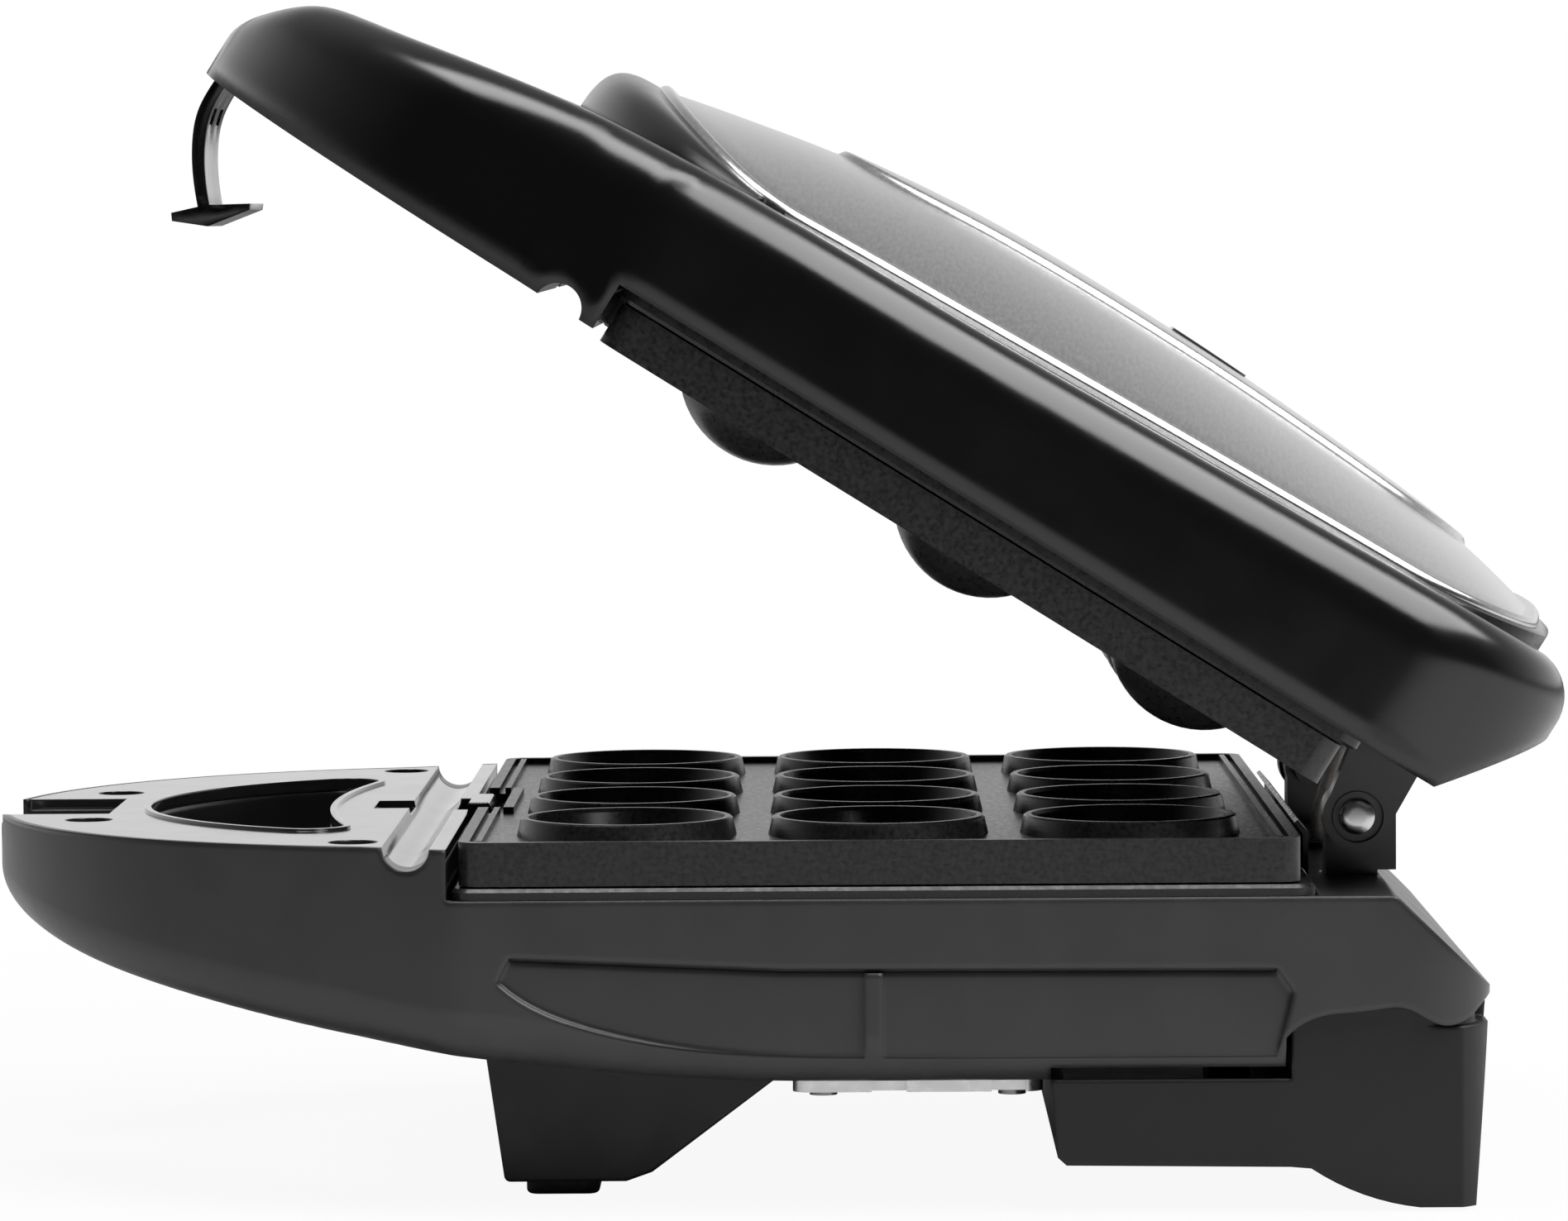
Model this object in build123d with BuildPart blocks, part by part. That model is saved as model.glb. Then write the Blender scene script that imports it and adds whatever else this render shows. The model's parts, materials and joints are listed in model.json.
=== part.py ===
from build123d import *
from math import cos, radians, sin, sqrt
import os

# Countertop mini tartlet maker: a base with a removable twelve-cup cooking plate, and a hinged
# lid that carries the matching plate of twelve domes. Millimetres, +Z up, standing on z = 0,
# with the handle towards -Y and the hinge towards +Y. The lid is modelled half open.

# Placing of the whole
plate_centre_y = 25.0
rim_height = 88.0
lid_open_angle = 32.1
plate_gap_offset = -1.6

# Running and seating clearances
pin_clearance = 0.05
seat_gap = 0.2
slide_gap = 0.4

# Plan of both halves
body_half_width = 124.0
full_x = (-body_half_width - 6, body_half_width + 6)
nose_y = -212.0
bow_radius = 115.7
flare_y = -120.0
shoulder_y = -98.0
shoulder_round = 18.0
base_rear_y = 139.0
base_rear_corner = 17.0
lid_rear_y = 138.0
lid_rear_corner = 40.0
shell_wall = 3.0
rim_ledge = 1.6
handle_top = -4.4
wall_top = -16.0

# Base hull
hull_bottom = -58.5
keel_points = [
    (-222.0, -17.0), (-207.0, -26.0), (-190.0, -33.0), (-165.0, -39.5), (-139.0, -45.0),
    (-112.0, -50.0), (-80.0, -54.3), (-45.0, -57.6), (-10.0, hull_bottom), (20.0, hull_bottom),
    (50.0, hull_bottom), (80.0, hull_bottom), (115.0, hull_bottom), (150.0, hull_bottom),
]
chine_radius = 11.5
deck_crest_y = 116.7
deck_front_y = 99.0
deck_slope_end = (150.0, -48.7)
bulkhead_thickness = 2.5
recess_depth = 1.6
fold_depth = 0.6
fold_width = 1.0
recess_bar = (-3.6, 0.6)

# Lid hull, as heights above the closed plates' parting plane
lid_top_points = [
    (-222.0, 8.5), (-212.0, 17.0), (-203.2, 24.4), (-194.0, 31.0), (-180.0, 34.6),
    (-160.0, 38.2), (-127.0, 43.6), (-85.0, 46.6), (-40.0, 47.6), (20.0, 49.4),
    (80.0, 51.6), (142.0, 53.4),
]
shoulder_radius = 12.0
lid_slope_foot = (118.0, 14.4)
lid_slope_head = (142.0, 41.9)

# Crown of the lid: stations of (y, height at its edges, height on the middle line)
crown_stations = [
    (-140.0, 41.0, 50.0), (-117.0, 43.4, 56.6), (-95.7, 45.0, 61.4), (-70.0, 46.4, 66.2),
    (-30.0, 47.7, 70.2), (20.0, 49.5, 70.8), (70.0, 51.2, 68.7), (105.0, 52.3, 65.4),
    (128.0, 53.0, 60.2), (142.0, 53.2, 57.0),
]
crown_half_width = 110.0
crown_front_y = -70.0
crown_nose_y = -131.0
panel_half_width = 107.0
panel_nose_y = -117.0
panel_corner_y = 119.0
panel_corner_radius = 36.0
panel_tail_y = 128.0
panel_thickness = 1.0
pad_half_width = 32.0
pad_span = (-72.0, 107.0)
pad_rise = 1.6
lens_span = (18.6, 40.0)
lens_half_width = 9.0
lens_rise = 0.6
insert_margin = 13.0
insert_tail_y = -75.0
lamp_ys = (23.5, 35.0)
lamp_radius = 2.4
insert_thickness = 1.6

# Cooking plates
plate_half_x = 122.5
plate_half_y = 95.3
plate_corner = 5.0
plate_lip = -2.8
plate_floor = -4.3
plate_skirt = -12.8
plate_wall = 2.5
rib_inset = 4.6
rib_width = 1.4
cup_pitch = 58.0
cup_columns = 4
cup_rows = 3
cup_rim_radius = 24.5
cup_mouth_radius = 22.5
cup_foot_radius = 25.4
cup_floor_radius = 16.5
cup_depth = 20.0
dome_radius = 17.9
dome_top = 4.8
catch_notch_half = 28.0
catch_ledge = -7.2

# Bezels, reflectors and heating elements
bezel_half_x = 123.4
bezel_front_y = -96.9
bezel_rear_y = 98.6
bezel_top = -13.3
bezel_opening_x = 114.0
bezel_opening_y = 90.0
bezel_well = -30.0
bezel_wall = 2.0
pan_floor = -27.0
pan_thickness = 0.8
element_radius = 3.25
element_level = -16.6
element_bend = 11.0
element_reach_y = 84.8
terminal_half_gap = 16.0
terminal_level = -44.0
terminal_thickness = 10.0
post_x = (-12.0, 12.0)
post_y = (80.0, 90.0)
post_top = terminal_level - terminal_thickness

# Handle: covers, finger opening, groove across and latch slot
cover_thickness = 2.4
grip_half = 78.0
grip_tip_y = -121.0
grip_front_y = -176.0
grip_rear_y = -132.0
grip_tip_round = 8.0
grip_wall = 2.5
grip_lip = 0.6
groove_y = -107.3
groove_radius = 5.6
groove_axis = -4.0
trough_wall = 2.2
trough_half = 107.8
ridge_gap_half = 16.0
key_slot_half = 10.5
key_slot_y = -121.5
screw_recess_radius = 5.7
cover_screw_radius = 1.5
cover_screw_end = -24.0
cover_boss_radius = 7.5
cover_boss_bottom = -10.2
screw_recess_depth = 3.4
cover_screw_spots = [(-38.0, -187.5), (38.0, -187.5), (-101.0, -120.3), (101.0, -120.3)]
latch_slot_half = 21.3
latch_slot_front = -208.7
latch_slot_rear = -184.4
pocket_depth = 4.2
pocket_top = -15.2
pocket_floor = -28.0

# Latch
latch_pivot = (-204.8, 7.2)
latch_half_width = 20.0
latch_eye_radius = 3.0
latch_pin_radius = 1.5
latch_pin_half = 23.2
latch_strap = 2.8
latch_outer_points = [
    (-207.7, 7.2), (-208.1, 0.7), (-207.6, -6.1), (-205.2, -12.4), (-200.8, -19.4), (-195.6, -25.6),
]
toe_tip = (-184.9, -19.6)
tab_tip = (-199.2, -31.6)

# Plate catches
catch_half = 13.0
catch_travel = 4.0
catch_rear_y = -92.0
catch_front_y = -98.6
catch_stem_y = -95.7
clip_spot = 42.0
clip_half = 5.0

# Hinge
hinge_y = 110.9
hinge_z = -1.6
hinge_boss_radius = 8.0
hinge_dish_radius = 6.1
hinge_dish_depth = 1.4
hinge_pin_radius = 3.0
lug_span = (62.0, 73.5)
lug_radius = 7.2
arm_span = (74.0, 82.0)
arm_stem_y = (100.0, 117.6)
arm_throat_y = (103.1, 118.4)
lug_stem_y = (104.2, 116.2)
lug_back_y = 120.5
lug_heel_z = -14.8
leaf_foot_margin = 8.0
leaf_foot_thickness = 2.4
deflector_half = 72.0

# Feet and underside
foot_span = (62.0, 93.0)
front_foot_side = [
    (-91.4, -50.0), (-86.6, -84.0), (-58.6, -84.0), (-52.6, -81.9), (-19.4, -57.0),
]
foot_pad_y = (-82.0, -65.0)
foot_pad_margin = 7.0
cover_span_y = (-20.0, 37.2)
cover_half_x = 108.0
cover_lap = (17.0, 3.0)
cover_bottom = -61.8
cover_notch_ys = (2.0, 29.4)
cover_notch_width = 8.0
cover_notch_depth = 3.0
cover_screw_inset = 7.0
housing_half_x = 120.5
housing_wall = 2.6
housing_side = [
    (38.8, -59.0), (40.0, -75.4), (42.0, -77.2), (92.7, -77.8), (97.4, -78.2),
    (108.4, -83.9), (122.0, -87.2), (135.0, -87.2), (138.6, -42.5),
]
housing_shelf = (93.0, -41.0)
housing_inner_y = 135.2
cord_wrap_half = 58.0
rear_pad_radius = 6.0
rear_pad_x = 92.0
rear_pad_y = 127.0
rear_pad_recess = 1.2
gland_radius = 8.0
gland_bore = 4.0
gland_z = -62.0

# Lead between base and lid, and inner wiring
lead_y = 108.0
lead_radius = 2.5
grommet_radius = 4.5
grommet_flange = 6.0
wire_radius = 1.6
screw_radius = 1.6


def level(frame, z):
    """A level sketch plane of a frame."""
    return Plane(frame.location * Plane.XY.offset(z).location)


def side_on(frame, x):
    """A sketch plane of a frame seen from the side: its axes are the frame's y and z."""
    return Plane(frame.location * Plane.YZ.offset(x).location)


def front_on(frame, y):
    """A sketch plane of a frame seen from the front: its axes are the frame's x and z."""
    return Plane(frame.location * Plane.XZ.offset(-y).location)


base_frame = Plane((0, plate_centre_y, rim_height))
hinge_point = Vector(0, plate_centre_y + hinge_y, rim_height + hinge_z)
lid_frame = Plane(
    Location(hinge_point, (-lid_open_angle, 0, 0))
    * Location((0, -hinge_y, -hinge_z))
)
upper_frame = Plane(lid_frame.location * Location((0, 0, plate_gap_offset), (0, 180, 0)))
halves = {"lower": base_frame, "upper": upper_frame}
os.makedirs("parts", exist_ok=True)


def finish(piece, label):
    """Name a piece and write its file."""
    piece.label = label
    export_step(piece, f"parts/{label}.step")


def plan_outline(inset, rear_y, rear_corner):
    """Outline seen from above: round nose, flared shoulders and a straight back."""
    bow_centre = nose_y + bow_radius
    flare_x = sqrt(bow_radius**2 - (flare_y - bow_centre) ** 2)
    with BuildSketch(mode=Mode.PRIVATE) as outline:
        with BuildLine():
            ThreePointArc((flare_x, flare_y), (0, nose_y), (-flare_x, flare_y))
            Polyline(
                (-flare_x, flare_y),
                (-body_half_width, shoulder_y),
                (-body_half_width, rear_y),
                (body_half_width, rear_y),
                (body_half_width, shoulder_y),
                (flare_x, flare_y),
            )
        make_face()
        fillet(outline.vertices().group_by(Axis.Y)[-1], rear_corner)
        flares = [corner for corner in outline.vertices() if corner.Y < shoulder_y + 1]
        fillet(flares, shoulder_round)
        if inset:
            offset(amount=-inset)
    return outline.sketch


def handle_outline(inset, end_y):
    """The handle's part of the plan outline, up to a line across it."""
    with BuildSketch(mode=Mode.PRIVATE) as handle:
        add(plan_outline(inset, base_rear_y, base_rear_corner))
        with Locations((0, end_y + 2 * body_half_width)):
            Rectangle(4 * body_half_width, 4 * body_half_width, mode=Mode.SUBTRACT)
    return handle.sketch


def grip_outline(grow):
    """The crescent finger opening behind the handle bar."""
    with BuildSketch(mode=Mode.PRIVATE) as crescent:
        with BuildLine():
            ThreePointArc((-grip_half, grip_tip_y), (0, grip_front_y), (grip_half, grip_tip_y))
            ThreePointArc((grip_half, grip_tip_y), (0, grip_rear_y), (-grip_half, grip_tip_y))
        make_face()
        fillet(crescent.vertices(), grip_tip_round)
        if grow:
            offset(amount=grow)
    return crescent.sketch


def hull(frame, side_face, inset, rear_y, rear_corner, heights, rounded_end, radius):
    """The plan outline standing up, cut by a side profile, with its long outer edge rounded."""
    low, high = heights
    with BuildPart(mode=Mode.PRIVATE) as body:
        with BuildSketch(level(frame, low)):
            add(plan_outline(inset, rear_y, rear_corner))
        extrude(amount=high - low)
        with BuildSketch(side_on(frame, -body_half_width - 1)):
            add(side_face)
        extrude(amount=2 * body_half_width + 2, mode=Mode.INTERSECT)
        up = Axis(frame.origin, frame.z_dir)
        fillet(body.faces().sort_by(up)[rounded_end].edges(), radius)
    return body.part


def block(frame, xs, ys, zs):
    """A plain block between two x, two y and two z values of a frame."""
    with BuildPart(mode=Mode.PRIVATE) as solid:
        with BuildSketch(level(frame, zs[0])):
            with Locations(((xs[0] + xs[1]) / 2, (ys[0] + ys[1]) / 2)):
                Rectangle(xs[1] - xs[0], ys[1] - ys[0])
        extrude(amount=zs[1] - zs[0])
    return solid.part


def prism(frame, face, zs):
    """A sketch standing between two heights of a frame."""
    with BuildPart(mode=Mode.PRIVATE) as solid:
        with BuildSketch(level(frame, zs[0])):
            add(face)
        extrude(amount=zs[1] - zs[0])
    return solid.part


def side_prism(frame, points, xs):
    """A side-view polygon drawn out between two x values of a frame."""
    with BuildPart(mode=Mode.PRIVATE) as solid:
        with BuildSketch(side_on(frame, xs[0])):
            with BuildLine():
                Polyline(*points, close=True)
            make_face()
        extrude(amount=xs[1] - xs[0])
    return solid.part


def crossbar(frame, y, z, radius, xs):
    """A round bar lying across a frame."""
    with BuildPart(mode=Mode.PRIVATE) as solid:
        with BuildSketch(side_on(frame, xs[0])):
            with Locations((y, z)):
                Circle(radius)
        extrude(amount=xs[1] - xs[0])
    return solid.part


def distinct(points):
    """The points without any that repeats the one before it."""
    kept = []
    for point in map(Vector, points):
        if not kept or (point - kept[-1]).length > 0.001:
            kept.append(point)
    return kept


def base_side(wall):
    """Side profile of the base hull, or with a wall the profile of its hollow."""
    end_y, end_z = deck_slope_end
    open_top = 1.0 if wall else 0.0
    step_y = shoulder_y - bulkhead_thickness if wall else shoulder_y
    with BuildSketch(mode=Mode.PRIVATE) as profile:
        with BuildLine():
            keel = Spline(*[(y, z + wall) for y, z in keel_points])
            corners = [
                keel @ 1,
                (end_y, end_z - wall * sqrt(2)),
                (deck_crest_y, wall_top - wall),
                (deck_front_y, wall_top - wall),
                (deck_front_y, wall_top + open_top),
                (step_y, wall_top + open_top),
                (step_y, handle_top + open_top),
                (keel_points[0][0], handle_top + open_top),
                keel @ 0,
            ]
            Polyline(*distinct(corners))
        make_face()
    return profile.sketch


def lid_side(wall):
    """Side profile of the lid hull in its closed frame, or with a wall that of its hollow."""
    foot_y, foot_z = lid_slope_foot
    head_y, head_z = lid_slope_head
    underside = plate_gap_offset - handle_top
    open_bottom = 1.0 if wall else 0.0
    step_y = shoulder_y - bulkhead_thickness if wall else shoulder_y
    with BuildSketch(mode=Mode.PRIVATE) as profile:
        with BuildLine():
            crest = Spline(*[(y, z - wall) for y, z in lid_top_points])
            corners = [
                crest @ 1,
                (head_y, head_z + wall * sqrt(2)),
                (foot_y - wall / 2, foot_z + wall),
                (deck_front_y, foot_z + wall),
                (deck_front_y, foot_z - open_bottom),
                (step_y, foot_z - open_bottom),
                (step_y, underside - open_bottom),
                (lid_top_points[0][0], underside - open_bottom),
                crest @ 0,
            ]
            Polyline(*distinct(corners))
        make_face()
    return profile.sketch


def between(stations, y, column):
    """Value of one column of a list of stations at a place y."""
    for first, second in zip(stations, stations[1:]):
        if y <= second[0]:
            share = (y - first[0]) / (second[0] - first[0])
            return first[column] + share * (second[column] - first[column])
    return stations[-1][column]


def crown_height(x, y):
    """Height of the crown's arched surface over the closed lid frame."""
    edge_z = between(crown_stations, y, 1)
    top_z = between(crown_stations, y, 2)
    return top_z - (top_z - edge_z) * (x / crown_half_width) ** 2


def crown_under(lift):
    """All that lies below the crown's arched surface, which is raised by a lift."""
    reach = crown_half_width + 12
    with BuildPart(mode=Mode.PRIVATE) as arch:
        for y, edge_z, top_z in crown_stations:
            end_z = crown_height(reach, y) + lift
            with BuildSketch(front_on(lid_frame, y)):
                with BuildLine():
                    ThreePointArc((-reach, end_z), (0, top_z + lift), (reach, end_z))
                    Polyline((reach, end_z), (reach, 20), (-reach, 20), (-reach, end_z))
                make_face()
        loft()
    return arch.part


def panel_outline(grow):
    """Outline of the steel panel seen from above: an oval front, long sides, a rounded tail."""
    half = panel_half_width + grow
    corner_y = panel_corner_y + grow
    with BuildSketch(mode=Mode.PRIVATE) as outline:
        with BuildLine():
            EllipticalCenterArc(
                (0, crown_front_y),
                half,
                crown_front_y - panel_nose_y + grow,
                start_angle=180,
                arc_size=180,
            )
            Line((half, crown_front_y), (half, corner_y))
            ThreePointArc((half, corner_y), (0, panel_tail_y + grow), (-half, corner_y))
            Line((-half, corner_y), (-half, crown_front_y))
        make_face()
        fillet(outline.vertices().group_by(Axis.Y)[-1], panel_corner_radius + grow)
    return outline.sketch


def insert_band(lower, upper, margin):
    """A layer along the lid's handle between two offsets from its top, inside a margin."""
    with BuildSketch(mode=Mode.PRIVATE) as band:
        with BuildLine():
            under = Spline(*[(y, z + lower) for y, z in lid_top_points])
            over = Spline(*[(y, z + upper) for y, z in lid_top_points])
            Line(under @ 0, over @ 0)
            Line(under @ 1, over @ 1)
        make_face()
    footprint = handle_outline(margin, insert_tail_y)
    with BuildPart(mode=Mode.PRIVATE) as layer:
        with BuildSketch(side_on(lid_frame, -body_half_width)):
            add(band.sketch)
        extrude(amount=2 * body_half_width)
        add(prism(lid_frame, footprint, (0, 90)), mode=Mode.INTERSECT)
    return layer.part


base_heights = (hull_bottom - 4, handle_top + 2)
lid_heights = (0.5, 60.0)
base_hull = hull(
    base_frame, base_side(0), 0, base_rear_y, base_rear_corner, base_heights, 0, chine_radius
)
base_hollow = hull(
    base_frame, base_side(shell_wall), shell_wall, base_rear_y, base_rear_corner,
    base_heights, 0, chine_radius - shell_wall,
)
lid_hull = hull(
    lid_frame, lid_side(0), 0, lid_rear_y, lid_rear_corner, lid_heights, -1, shoulder_radius
)
insert_bed = lid_hull - insert_band(-insert_thickness - 0.1, 8, insert_margin - seat_gap)
lid_hollow = hull(
    lid_frame, lid_side(shell_wall), shell_wall, lid_rear_y, lid_rear_corner,
    lid_heights, -1, shoulder_radius - shell_wall,
)

# What both handles share: ribs left standing in the hollow, and what is cut from them
cover_seat = handle_top - cover_thickness
catch_room_x = (-ridge_gap_half, ridge_gap_half)
catch_room_y = (catch_front_y - catch_travel - slide_gap, shoulder_y + 1)
deep = -80.0
well_half = latch_slot_half + shell_wall
grip_back_y = grip_front_y - 1.0


def handle_ribs(frame, body_hull):
    """Bulkhead, finger-well wall, groove pads and screw posts, cut to the hull's own surface."""
    ribs = [
        block(
            frame,
            (-body_half_width, body_half_width),
            (shoulder_y - bulkhead_thickness, shoulder_y),
            (deep, handle_top),
        ),
        prism(frame, grip_outline(grip_wall), (deep, handle_top)),
        block(frame, (-well_half, well_half), (nose_y - 1, grip_back_y), (deep, handle_top)),
    ]
    for x_side in (-1, 1):
        pad = sorted((x_side * trough_half, x_side * body_half_width))
        pad_y = (groove_y - groove_radius - 3, shoulder_y)
        ribs.append(block(frame, pad, pad_y, (groove_axis - groove_radius - 3, handle_top)))
    for spot in cover_screw_spots:
        with BuildPart(mode=Mode.PRIVATE) as post:
            with BuildSketch(level(frame, deep)):
                with Locations(spot):
                    Circle(cover_screw_radius * 3)
            extrude(amount=cover_boss_bottom - seat_gap - deep)
        ribs.append(post.part)
    return [rib & body_hull for rib in ribs]


def handle_cuts(frame):
    """The cover's rebate, the finger opening, the groove, the catch's gap and screw holes."""
    rebate = handle_outline(rim_ledge, shoulder_y)
    cuts = [
        prism(frame, rebate, (cover_seat - seat_gap, handle_top + 5)),
        prism(frame, grip_outline(0), (deep, handle_top + 5)),
        crossbar(frame, groove_y, groove_axis, groove_radius, full_x),
        crossbar(
            frame,
            groove_y,
            groove_axis,
            groove_radius + trough_wall + seat_gap,
            (-trough_half, trough_half),
        ),
        block(frame, catch_room_x, catch_room_y, (bezel_top - 1, handle_top + 5)),
    ]
    for spot in cover_screw_spots:
        with BuildPart(mode=Mode.PRIVATE) as pilot:
            with BuildSketch(level(frame, cover_screw_end - 1)):
                with Locations(spot):
                    Circle(cover_screw_radius)
            extrude(amount=handle_top - cover_screw_end)
        cuts.append(pilot.part)
    return cuts


# Base shell
recess_points = [(-86.6, -34.5), (-79, -40), (-68, -44.5), (-49, -49), (-20, -51.8), (20, -52.4)]
recess_top = [(89.6, -32.2), (-21.7, -31.7), (-83.8, -28.9)]
recess_right = [(89.5, -52.4), (93.3, -37.5), *recess_top]
fold_line = recess_top + [(y, z - fold_width) for y, z in reversed(recess_top)]
scallop_points = [
    (91.6, -48.0), (99.8, -43.1), (110.0, -42.0), (119.0, -41.6),
    (126.8, -45.4), (133.4, -44.0), (138.0, -40.0), (143.0, -38.8),
]
with BuildPart() as side_recess:
    for x_side in (-1, 1):
        with BuildSketch(side_on(base_frame, x_side * body_half_width)):
            with BuildLine():
                low_edge = Spline(*recess_points)
                Polyline(low_edge @ 1, *recess_right, low_edge @ 0)
            make_face()
            with Locations(((recess_bar[0] + recess_bar[1]) / 2, -45)):
                Rectangle(recess_bar[1] - recess_bar[0], 60, mode=Mode.SUBTRACT)
        extrude(amount=recess_depth, both=True)

recess_fold = []
for x_side in (-1, 1):
    fold_floor = x_side * (body_half_width - recess_depth - fold_depth)
    fold_x = sorted((fold_floor, x_side * (body_half_width + 1)))
    recess_fold.append(side_prism(base_frame, fold_line, fold_x))

with BuildPart() as rear_scallop:
    with BuildSketch(side_on(base_frame, -body_half_width - 1)):
        with BuildLine():
            wave = Spline(*scallop_points)
            Polyline(wave @ 1, (143, -70), (91.6, -70), wave @ 0)
        make_face()
    extrude(amount=2 * body_half_width + 2)

slot_x = (-latch_slot_half, latch_slot_half)
latch_pocket = [
    (latch_slot_rear - 1, pocket_floor), (latch_slot_rear + pocket_depth, pocket_floor + 4),
    (latch_slot_rear + pocket_depth, pocket_top), (latch_slot_rear - 1, pocket_top),
]
latch_lead_in = [
    (nose_y + 0.4, handle_top - 3), (latch_slot_front, handle_top - 8),
    (latch_slot_front + 1, handle_top - 8), (latch_slot_front + 1, handle_top - 3),
]
base_cuts = handle_cuts(base_frame) + recess_fold + [
    side_recess.part,
    rear_scallop.part,
    block(base_frame, slot_x, (latch_slot_front, latch_slot_rear), (deep, 0)),
    block(base_frame, slot_x, (nose_y - 2, latch_slot_front + 1), (handle_top - 3, 0)),
    side_prism(base_frame, latch_pocket, slot_x),
    side_prism(base_frame, latch_lead_in, slot_x),
    block(
        base_frame,
        (-cover_half_x + cover_lap[0], cover_half_x - cover_lap[0]),
        (cover_span_y[0] + cover_lap[1], cover_span_y[1] + cover_lap[1]),
        (deep, hull_bottom + shell_wall + 1),
    ),
    block(
        base_frame,
        (-housing_half_x - 0.4, housing_half_x + 0.4),
        (housing_side[0][0] - 0.3, base_rear_y + 1),
        (deep, hull_bottom + shell_wall + 1),
    ),
]
for span in (lug_span, (-lug_span[1], -lug_span[0])):
    slot = (span[0] - seat_gap, span[1] + seat_gap)
    slot_y = (lug_stem_y[0] - seat_gap, lug_stem_y[1] + seat_gap)
    base_cuts.append(block(base_frame, slot, slot_y, (wall_top - 9, wall_top + 1)))
with BuildPart() as base_shell:
    add(base_hull)
    add(base_hollow, mode=Mode.SUBTRACT)
    for rib in handle_ribs(base_frame, base_hull):
        add(rib)
    for cut in base_cuts:
        add(cut, mode=Mode.SUBTRACT)
    with Locations(Plane(base_frame.location * Location((0, lead_y, wall_top)))):
        Hole(grommet_radius + 0.05, depth=8)
finish(base_shell.part, "base_shell")

# Lid shell: hull, raised crown under the panel, hollow inside, recesses for panel and insert
panel_bed = crown_under(-panel_thickness)
over_bed = crown_under(8)
with BuildPart() as crown_body:
    add(prism(lid_frame, panel_outline(0), (40, 90)))
    add(panel_bed, mode=Mode.INTERSECT)
with BuildPart() as crown_border:
    add(prism(lid_frame, panel_outline(crown_half_width - panel_half_width), (40, 90)))
    add(crown_under(0), mode=Mode.INTERSECT)
    front_x = (-body_half_width, body_half_width)
    add(block(lid_frame, front_x, (nose_y, insert_tail_y + seat_gap), (20, 90)), mode=Mode.SUBTRACT)
with BuildPart() as crown_hollow:
    add(prism(lid_frame, panel_outline(-shell_wall), (36, 90)))
    add(crown_under(-panel_thickness - shell_wall), mode=Mode.INTERSECT)
with BuildPart() as panel_recess:
    add(prism(lid_frame, panel_outline(seat_gap), (40, 90)))
    add(over_bed, mode=Mode.INTERSECT)
    add(panel_bed, mode=Mode.SUBTRACT)


latch_y, latch_z = latch_pivot
lid_slot = (latch_slot_front - 0.6, latch_y + 14)
lid_cuts = handle_cuts(upper_frame) + [
    block(lid_frame, slot_x, lid_slot, (-5, latch_z + latch_eye_radius + 0.8)),
    crossbar(lid_frame, latch_y, latch_z, latch_pin_radius + 0.02, (-latch_pin_half, latch_pin_half)),
]
for span in (arm_span, (-arm_span[1], -arm_span[0])):
    slot = (span[0] - seat_gap, span[1] + seat_gap)
    slot_y = (arm_stem_y[0] - seat_gap, arm_stem_y[1] + seat_gap)
    lid_cuts.append(block(upper_frame, slot, slot_y, (wall_top - 9, wall_top + 1)))
with BuildPart() as lid_shell:
    add(insert_bed)
    add(crown_body.part)
    add(crown_border.part)
    add(panel_recess.part, mode=Mode.SUBTRACT)
    add(lid_hollow, mode=Mode.SUBTRACT)
    add(crown_hollow.part, mode=Mode.SUBTRACT)
    for rib in handle_ribs(upper_frame, insert_bed):
        add(rib)
    add(block(upper_frame, post_x, post_y, (deep, post_top)) & crown_body.part)
    for cut in lid_cuts:
        add(cut, mode=Mode.SUBTRACT)
    with Locations(Plane(upper_frame.location * Location((0, lead_y, wall_top)))):
        Hole(grommet_radius + 0.05, depth=8)
    for lamp_y in lamp_ys:
        with Locations(Plane(lid_frame.location * Location((0, lamp_y, crown_height(0, lamp_y) + 2)))):
            Hole(lamp_radius + 0.1, depth=12)
finish(lid_shell.part, "lid_shell")

# Steel panel with its raised strip, window and pressed rim
pad_y = (pad_span[0] + pad_span[1]) / 2
lens_y = (lens_span[0] + lens_span[1]) / 2
lens_length = lens_span[1] - lens_span[0]
with BuildSketch() as strip:
    with Locations((0, pad_y)):
        SlotOverall(pad_span[1] - pad_span[0], 2 * pad_half_width, rotation=90)
with BuildSketch() as window:
    with Locations((0, lens_y)):
        RectangleRounded(2 * lens_half_width, lens_length, 2.5)
with BuildPart() as raised_strip:
    add(prism(lid_frame, strip.sketch, (40, 90)))
    add(crown_under(pad_rise), mode=Mode.INTERSECT)
    add(crown_under(-panel_thickness / 2), mode=Mode.SUBTRACT)
with BuildPart() as steel_panel:
    add(prism(lid_frame, panel_outline(0), (40, 90)))
    add(crown_under(0), mode=Mode.INTERSECT)
    add(panel_bed, mode=Mode.SUBTRACT)
    add(raised_strip.part)
    with BuildSketch(level(lid_frame, 50)):
        add(window.sketch)
    extrude(amount=40, mode=Mode.SUBTRACT)
finish(steel_panel.part, "steel_panel")

with BuildSketch() as lens_face:
    add(window.sketch)
    offset(amount=-seat_gap)
with BuildPart() as indicator_lens:
    add(prism(lid_frame, lens_face.sketch, (50, 90)))
    add(crown_under(pad_rise + lens_rise), mode=Mode.INTERSECT)
    add(crown_under(seat_gap - panel_thickness), mode=Mode.SUBTRACT)
finish(indicator_lens.part, "indicator_lens")

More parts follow.
